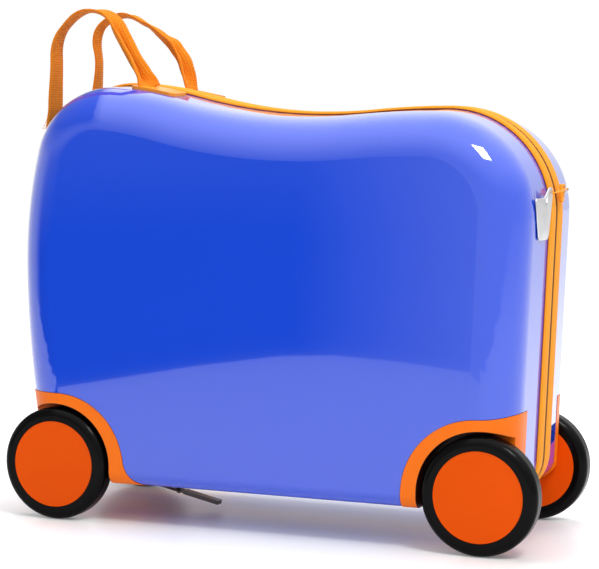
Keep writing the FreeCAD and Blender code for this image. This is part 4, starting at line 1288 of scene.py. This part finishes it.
@dataclass
class GrabStrap:
    """Loop of webbing from the front wall over to the top, folded towards its rear foot."""

    side: Side
    front_radius: float
    rear_radius: float
    foot: Point
    drapes: tuple[Drape, ...]
    spacing: float = 84 * MM
    width: float = 24.6 * MM
    thickness: float = 1.9 * MM
    leg_place: float = -219 * MM
    top: float = 434 * MM
    front_foot: float = 317.5 * MM
    foot_run: float = 14.6 * MM
    pivot_height: float = 328.8 * MM
    flex_from: float = 1 * MM
    flex_to: float = 27 * MM
    crease: float = 2.2 * MM
    selvedge: float = 1.2 * MM
    selvedge_thinning: float = 0.45
    steps: int = 150
    half_across: int = 11
    lip_from: float = 4.6 * MM
    lip_roll: float = 0.9
    stitch_count: int = 9
    stitch_rows: Point = (12 * MM, 34 * MM)
    stitch_width: float = 19.6 * MM
    stitch_length: float = 2.7 * MM
    stitch_radius: float = 0.32 * MM
    stitch_proud: float = 0.05 * MM

    @property
    def place(self) -> float:
        """Place of the strap across the case."""
        return self.side.value * self.spacing / 2

    def path(self) -> list[Bend | Stretch]:
        """Centre line from the front foot over the top to the rear foot.

        Returns:
            Arcs and lines in order.
        """
        crown = self.leg_place + self.front_radius
        front = Vector((crown, self.top - self.front_radius))
        rear = Vector((crown, self.top - self.rear_radius))
        foot = Vector(self.foot)
        turn = heading(rear, foot) + math.acos(self.rear_radius / (foot - rear).length)
        leave = rear + Vector((math.cos(turn), math.sin(turn))) * self.rear_radius
        end = foot + (foot - leave).normalized() * self.foot_run
        start = Vector((self.leg_place, self.front_foot))
        return [
            Stretch(start, Vector((self.leg_place, front.y)), left=True),
            Bend(front, self.front_radius, math.pi, math.pi / 2),
            Bend(rear, self.rear_radius, math.pi / 2, turn),
            Stretch(leave, end, left=True),
        ]

    def drape(self, share: float) -> Drape:
        """Fold, turn, shift and sag at one place.

        Args:
            share: Share of the strap's length, from the front foot.

        Returns:
            The drape there.
        """
        for low, high in zip(self.drapes, self.drapes[1:]):
            if share <= high.share:
                return low.towards(high, share)
        return self.drapes[-1]

    def half_section(self, fold: float) -> list[tuple[float, ...]]:
        """Half of the webbing's section, from its middle to a selvedge that rolls back a little.

        Args:
            fold: Angle that the half is folded up by.

        Returns:
            For each point, how far across the webbing it lies, its place across and
            up, the slope there and half the thickness.
        """
        half = self.width / 2
        step = half / self.half_across
        across = 0.0
        up = 0.0
        points = []
        for i in range(self.half_across + 1):
            way = step * i
            roll = self.lip_roll * ease((way - self.lip_from) / (half - self.lip_from))
            slope = fold * ease(way / self.crease) * (1 - roll * math.sin(fold))
            if i:
                across += step * math.cos(slope)
                up += step * math.sin(slope)
            thin = ease((way - half + self.selvedge) / self.selvedge)
            body = self.thickness / 2 * (1 - self.selvedge_thinning * thin)
            points.append((way, across, up, slope, body))
        return points

    def ring(self, station: Station, share: float) -> tuple[list[Vector], list[float]]:
        """Section of the webbing at one place.

        Args:
            station: Place on the centre line.
            share: Share of the strap's length.

        Returns:
            Points round the section, and how far across the webbing each lies.
        """
        drape = self.drape(share)
        outward = Vector((station.outward.x, 0, station.outward.y))
        turn = Matrix.Rotation(math.radians(drape.turn), 3, outward.cross(SIDEWAYS))
        outward = turn @ outward
        sideways = turn @ SIDEWAYS
        right = self.half_section(math.radians(drape.fold))
        left = [(-way, -across, up, -slope, body) for way, across, up, slope, body in right[:0:-1]]
        lift = max(up for _, _, up, _, _ in right)
        base = Vector((station.place.x, self.place + drape.shift * MM, station.place.y))
        base -= outward * (drape.sag * MM + lift / 2)
        tops = []
        undersides = []
        ways = []
        for way, across, up, slope, body in left + right:
            normal = (outward * math.cos(slope) - sideways * math.sin(slope)) * body
            spot = base + sideways * across + outward * up
            tops.append(spot + normal)
            undersides.append(spot - normal)
            ways.append(way)
        return tops + undersides[::-1], ways + ways[::-1]

    def webbing(self) -> Piece:
        """The strap itself.

        Returns:
            The webbing, as one piece.
        """
        stations = walk(self.path(), self.steps)
        total = stations[-1].run
        rings = []
        uvs = []
        for station in stations:
            ring, ways = self.ring(station, station.run / total)
            rings.append(ring)
            uvs += [(station.run, way) for way in ways]
        return Skin().tube(rings, uvs).piece(f"webbing_strap_{self.side.tag}")

    def flex_at_feet(self, piece: Piece) -> None:
        """Bake the piece's place into its mesh.

        Args:
            piece: The webbing, or what is sewn on it.
        """
        self.place
        self.place
        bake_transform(piece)

    def foot_stitches(self) -> Piece:
        """Slanted row of stitches across the front leg, above its foot, on both faces.

        Returns:
            The stitches, as one piece.
        """
        rows = []
        low, high = self.stitch_rows
        out = Vector((-1, 0, 0))
        along = Vector((0, self.stitch_width, high - low)).normalized()
        for number in range(self.stitch_count):
            share = (number + 0.5) / self.stitch_count
            across = self.place + self.stitch_width * (share - 0.5)
            rise = self.front_foot + low + (high - low) * share
            middle = Vector((self.leg_place, across, rise))
            for face in (-1, 1):
                lift = out * (face * (self.thickness / 2 + self.stitch_proud))
                rows.append((middle + lift, along, out))
        name = f"strap_foot_stitches_{self.side.tag}"
        return thread_row(name, rows, self.stitch_length, self.stitch_radius)

    def build(self, materials: Materials) -> None:
        """Make and dress the strap.

        Args:
            materials: Materials by finish.
        """
        strap = self.webbing()
        coat_piece(strap, materials["webbing"])
        self.flex_at_feet(strap)
        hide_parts(f"strap_{self.side.tag}")
        stitches = self.foot_stitches()
        coat_piece(stitches, materials["thread"])
        self.flex_at_feet(stitches)
        LOG.info("grab strap, %s side: webbing and foot stitches", self.side.tag)


def near_strap() -> GrabStrap:
    """The near strap, whose rear leg is folded into a groove.

    Returns:
        The strap.
    """
    drapes = (
        Drape(0.00, 0), Drape(0.06, 0, 0, 0, 4.5), Drape(0.14, 1, 0, 0, 6.5),
        Drape(0.30, 3, -4, 0, 7.5), Drape(0.46, 6, -9, 0, 6), Drape(0.60, 8, -2, 0, 3),
        Drape(0.69, 24, -4, 0, 2.5), Drape(0.78, 66, -17, 0, 4), Drape(0.87, 80, -24, 0, 4.6),
        Drape(0.94, 62, -25, 0, 4), Drape(1.00, 8, -22, 0, 2.4),
    )
    return GrabStrap(
        side=Side.NEAR, front_radius=41.5 * MM, rear_radius=28 * MM,
        foot=(-129 * MM, 379.54 * MM), drapes=drapes,
    )


def far_strap() -> GrabStrap:
    """The far strap, which waves on its way to a wider rear foot.

    Returns:
        The strap.
    """
    drapes = (
        Drape(0.00, 0), Drape(0.12, 2, -3, 0, 3), Drape(0.30, 10, -12, 0, 6),
        Drape(0.46, 18, -8, 0, 1), Drape(0.56, 14, 2, 1.0, 2), Drape(0.66, 10, 8, 2.0, 7),
        Drape(0.74, 26, 6, 1.5, 8), Drape(0.82, 66, -8, 0.5, 6), Drape(0.90, 60, -16, -0.8, 3),
        Drape(1.00, 10, 0, 0, 1.5),
    )
    return GrabStrap(
        side=Side.FAR, front_radius=34 * MM, rear_radius=59 * MM,
        foot=(-125 * MM, 380.05 * MM), drapes=drapes,
    )


# Wheels


@dataclass
class WheelDisc:
    """Plain disc that closes a wheel, with a fine raised rim.

    Its half section is given in millimetres, as radii and depths below the
    wheel's outer face.
    """

    side: Side
    end: End
    section: tuple[Point, ...] = (
        (0.0, 0.245), (18.25, 0.28), (34.8, 0.35), (35.3, 0.35), (35.55, 0.08), (35.8, 0.0),
        (36.15, 0.02), (36.42, 0.25), (36.45, 2.4), (0.0, 2.4),
    )
    wheel_track: float = 0.190
    wheelbase: float = 0.372
    axle_height: float = 0.0475
    turns: int = 128

    def build(self, materials: Materials) -> None:
        """Make and dress the disc.

        Args:
            materials: Materials by finish.
        """
        tag = f"{self.end.tag}_{self.side.tag}"
        hub_x = self.end.value * self.wheelbase / 2
        hub = Vector((hub_x, self.side.value * self.wheel_track / 2, self.axle_height))
        angles = [FULL_TURN * i / self.turns for i in range(self.turns)]
        rings = []
        for radius, depth in self.section:
            inward = -self.side.value * depth
            spots = [Vector((radius * math.cos(a), inward, radius * math.sin(a))) for a in angles]
            rings.append([hub + spot * MM for spot in spots])
        disc = Skin().tube(rings).piece(f"wheel_disc_{tag}")
        dress_piece(disc, f"wheel_{tag}", materials["hub"], f"hub_cap_{tag}")
        LOG.info("wheel disc, %s", tag)


# Linings


@dataclass
class Lining:
    """Cloth lining of one half, slightly puckered where it follows the shell."""

    side: Side
    pucker: float = 0.6 * MM
    pucker_size: float = 35 * MM
    middle: Point = (30 * MM, 200 * MM)
    inner_face: float = 0.2
    cut: Point = (0.62, 0.51)
    cut_area: float = 0.225

    def build(self, node: Piece, materials: Materials) -> None:
        """Drape the cloth over the inside of the shell.

        Args:
            node: The part that the cloth stands for.
            materials: Materials by finish.
        """
        tag = self.side.tag
        mesh = node.data.copy()
        mesh.name = f"lining_cloth_{tag}"
        cloth = add_object(mesh.name, mesh)
        with editing(mesh) as work:
            bmesh.ops.remove_doubles(work, verts=work.verts, dist=SAME_PLACE)
        centre = Vector((0.0, self.side.value * self.middle[0], self.middle[1]))
        for vertex in mesh.vertices:
            inward = (centre - vertex.co).normalized()
            if vertex.normal.dot(inward) > self.inner_face:
                swell = noise.noise(vertex.co / self.pucker_size)
                vertex.co += inward * (self.pucker * max(0.0, swell))
        mesh.update()
        dress_piece(cloth, f"{tag}_half", materials["lining"], f"lining_{tag}")
        LOG.info("lining, %s side", tag)


# Carried-over parts


@dataclass
class PlainParts:
    """Parts that keep their own shape and only take a finish."""

    slots: dict[str, str]
    tab_prefix: str = "strap_tab"

    def build(self, nodes: dict[str, Piece], materials: Materials) -> None:
        """Give each part the finish of its slot, and the strap tabs their own.

        Args:
            nodes: Parts by name.
            materials: Materials by finish.
        """
        for name, node in nodes.items():
            finish = "tab" if name.startswith(self.tab_prefix) else self.slots[name]
            node.data.materials.clear()
            node.data.materials.append(materials[finish])
            LOG.info("part %s takes the finish of the %s", name, finish)


# Stage


@dataclass(frozen=True)
class SoftBox:
    """One square soft light."""

    name: str
    place: Triple
    aim: Triple
    size: float
    power: float
    mirrored: bool

    def light(self) -> None:
        """Hang the light and turn it to its aim."""
        data = bpy.data.lights.new(self.name, "AREA")
        data.shape = "SQUARE"
        data.size = self.size
        data.energy = self.power
        lamp = add_object(self.name, data)
        lamp.location = self.place
        lamp.visible_glossy = self.mirrored
        towards = Vector(self.aim) - Vector(self.place)
        lamp.rotation_euler = towards.to_track_quat("-Z", "Y").to_euler()


@dataclass
class Studio:
    """Pale floor, soft studio light and the camera."""

    frame_width: int = 599
    focal_pixels: float = 1976.5
    sensor: float = 36.0
    camera_place: Triple = (0.6039, -1.5644, 0.3293)
    yaw: float = math.radians(21.14)
    pitch: float = math.radians(-4.39)
    roll: float = math.radians(0.66)
    floor_edge: tuple[Point, ...] = (
        (-4.0, -0.4), (-0.60, -0.82), (-0.53, -1.15), (-0.47, -1.32), (-0.40, -1.365),
        (-0.28, -1.325), (-0.15, -1.245), (0.30, -1.10), (4.0, -1.0), (4.0, 12.0), (-4.0, 12.0),
    )
    floor_colour: Colour = (0.94, 0.94, 0.94)
    floor_unevenness: float = 0.01
    floor_tone_scale: float = 3.0
    floor_roughness: Point = (0.28, 0.36)
    floor_haze_scale: float = 8.0
    floor_refraction: float = 1.35
    floor_lift: Point = (0.02, 0.29)
    # Painted shadow: the floor's glow fades towards the case over these distances along and across it,
    # leaving a darker patch beneath it.
    shadow_patch_ends: Point = (0.20, 0.34)
    shadow_patch_sides: Point = (0.04, 0.17)
    ambient: float = 0.60
    ceiling_level: float = 2.2
    ceiling_rise: Point = (0.25, 0.85)
    ceiling_end: Point = (-0.41, -0.50)
    ceiling_end_rise: Point = (0.10, 0.40)
    ceiling_end_level: float = 0.2
    flag_level: float = 0.04
    flag_depth: Point = (-0.20, -0.50)
    flag_top: Point = (0.20, -0.05)
    flag_side: Point = (-0.25, -0.36)
    backdrop_dip: float = 0.12
    backdrop_from: Point = (0.84, 0.98)
    backdrop_top: Point = (0.25, 0.10)
    overhead: SoftBox = SoftBox(
        name="overhead_softbox", place=(-0.2, 0.5, 2.2), aim=(0.0, 0.0, 0.1),
        size=1.8, power=34.0, mirrored=False,
    )
    key: SoftBox = SoftBox(
        name="key_softbox", place=(1.11, -0.92, 1.88), aim=(0.0, 0.0, 0.2),
        size=0.55, power=22.0, mirrored=True,
    )

    def camera(self) -> None:
        """Set the camera at the photograph's place."""
        forward = Vector((
            -math.sin(self.yaw) * math.cos(self.pitch),
            math.cos(self.yaw) * math.cos(self.pitch),
            math.sin(self.pitch),
        ))
        level = Vector((math.cos(self.yaw), math.sin(self.yaw), 0.0))
        above = level.cross(forward)
        right = level * math.cos(self.roll) + above * math.sin(self.roll)
        up = above * math.cos(self.roll) - level * math.sin(self.roll)
        data = bpy.data.cameras.new("photo_camera")
        data.sensor_fit = "HORIZONTAL"
        data.sensor_width = self.sensor
        data.lens = self.focal_pixels * self.sensor / self.frame_width
        camera = add_object("photo_camera", data)
        turn = Matrix((right, up, -forward)).transposed().to_4x4()
        camera.matrix_world = Matrix.Translation(self.camera_place) @ turn
        bpy.context.scene.camera = camera

    def lookers(self, graph: Graph) -> tuple[Socket, Socket]:
        """Whether the camera looks on, and whether a mirror or glass does.

        Args:
            graph: The node tree that asks.

        Returns:
            Two sockets that are 1 for such a look and 0 otherwise.
        """
        path = graph.add("LightPath").outputs
        gloss = graph.calc("MAXIMUM", path["Is Glossy Ray"], path["Is Transmission Ray"])
        return path["Is Camera Ray"], gloss

    def floor(self) -> None:
        """Lay a pale floor that glows white to the camera and to mirrors, except in a painted shadow
        patch beneath the case where the glow fades; the lamps' real shadows fall on it too.
        """
        mesh = bpy.data.meshes.new("studio_floor")
        corners = [(x, y, 0.0) for x, y in self.floor_edge]
        mesh.from_pydata(corners, [], [range(len(corners))])
        floor = add_object("studio_floor", mesh)
        coating = Coating("pale_floor")
        axes = coating.axes(Coords.OBJECT)
        # Painted shadow: the glow is low in a patch beneath the case.
        ends = coating.ramp(coating.calc("ABSOLUTE", axes["X"]), *self.shadow_patch_ends)
        sides = coating.ramp(coating.calc("ABSOLUTE", axes["Y"]), *self.shadow_patch_sides)
        lift = coating.span(coating.calc("MAXIMUM", ends, sides), *self.floor_lift)
        seen = coating.calc("MAXIMUM", *self.lookers(coating))
        coating.fill(
            coating.shader,
            Base_Color=coating.blotches(self.floor_colour, self.floor_unevenness, self.floor_tone_scale),
            Roughness=coating.span(coating.grain(self.floor_haze_scale), *self.floor_roughness),
            IOR=self.floor_refraction,
            Emission_Color=WHITE,
            Emission_Strength=coating.product(seen, lift),
        )
        mesh.materials.append(coating.material)

    def sky(self) -> None:
        """Set white surroundings, of which gloss alone shows more.

        That is a brighter ceiling, a dark end of it over the straps, a slightly
        dimmer backdrop and a dark flag on the camera's side.
        """
        world = bpy.data.worlds.new("studio_world")
        world.use_nodes = True
        world.node_tree.nodes.clear()
        bpy.context.scene.world = world
        graph = Graph(world.node_tree)
        patch = partial(graph.patch, Coords.GENERATED)
        flag = patch(X=self.flag_side, Y=self.flag_depth, Z=self.flag_top)
        dip = graph.product(patch(Y=self.backdrop_from, Z=self.backdrop_top), self.backdrop_dip)
        softbox = graph.product(patch(Z=self.ceiling_rise), self.ceiling_level - 1.0)
        walls = graph.calc("SUBTRACT", graph.span(flag, 1.0, self.flag_level), dip)
        dark_end = patch(X=self.ceiling_end, Z=self.ceiling_end_rise)
        dimming = graph.span(dark_end, 1.0, self.ceiling_end_level)
        mirrored = graph.product(graph.calc("ADD", walls, softbox), dimming)
        camera, gloss = self.lookers(graph)
        strength = graph.between(camera, graph.between(gloss, self.ambient, mirrored), 1.0)
        light = graph.add("Background", Color=WHITE, Strength=strength)
        graph.add("OutputWorld", Surface=light.outputs["Background"])

    def build(self) -> None:
        """Set up the whole stage."""
        self.camera()
        self.floor()
        self.sky()
        self.overhead.light()
        self.key.light()
        bpy.context.scene.view_settings.view_transform = "Standard"
        LOG.info("stage: camera, floor, sky and lights")


def main() -> None:
    """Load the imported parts, dress them and set the stage."""
    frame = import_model()
    nodes = frame["nodes"]
    slots = {entry["node"]: entry["material_slot"] for entry in frame["record"]["subparts"]}

    Studio().build()
    materials = Finishes().materials()
    PlainParts(slots).build(nodes, materials)
    ZipBand(SeamOutline()).build(materials)
    TailPull().build(materials)
    for strap in (near_strap(), far_strap()):
        strap.build(materials)
    for side in Side:
        Lining(side).build(nodes[f"lining_{side.tag}"], materials)
        for end in End:
            WheelDisc(side, end).build(materials)


if __name__ == "__main__":
    logging.basicConfig(level=logging.INFO)
    main()
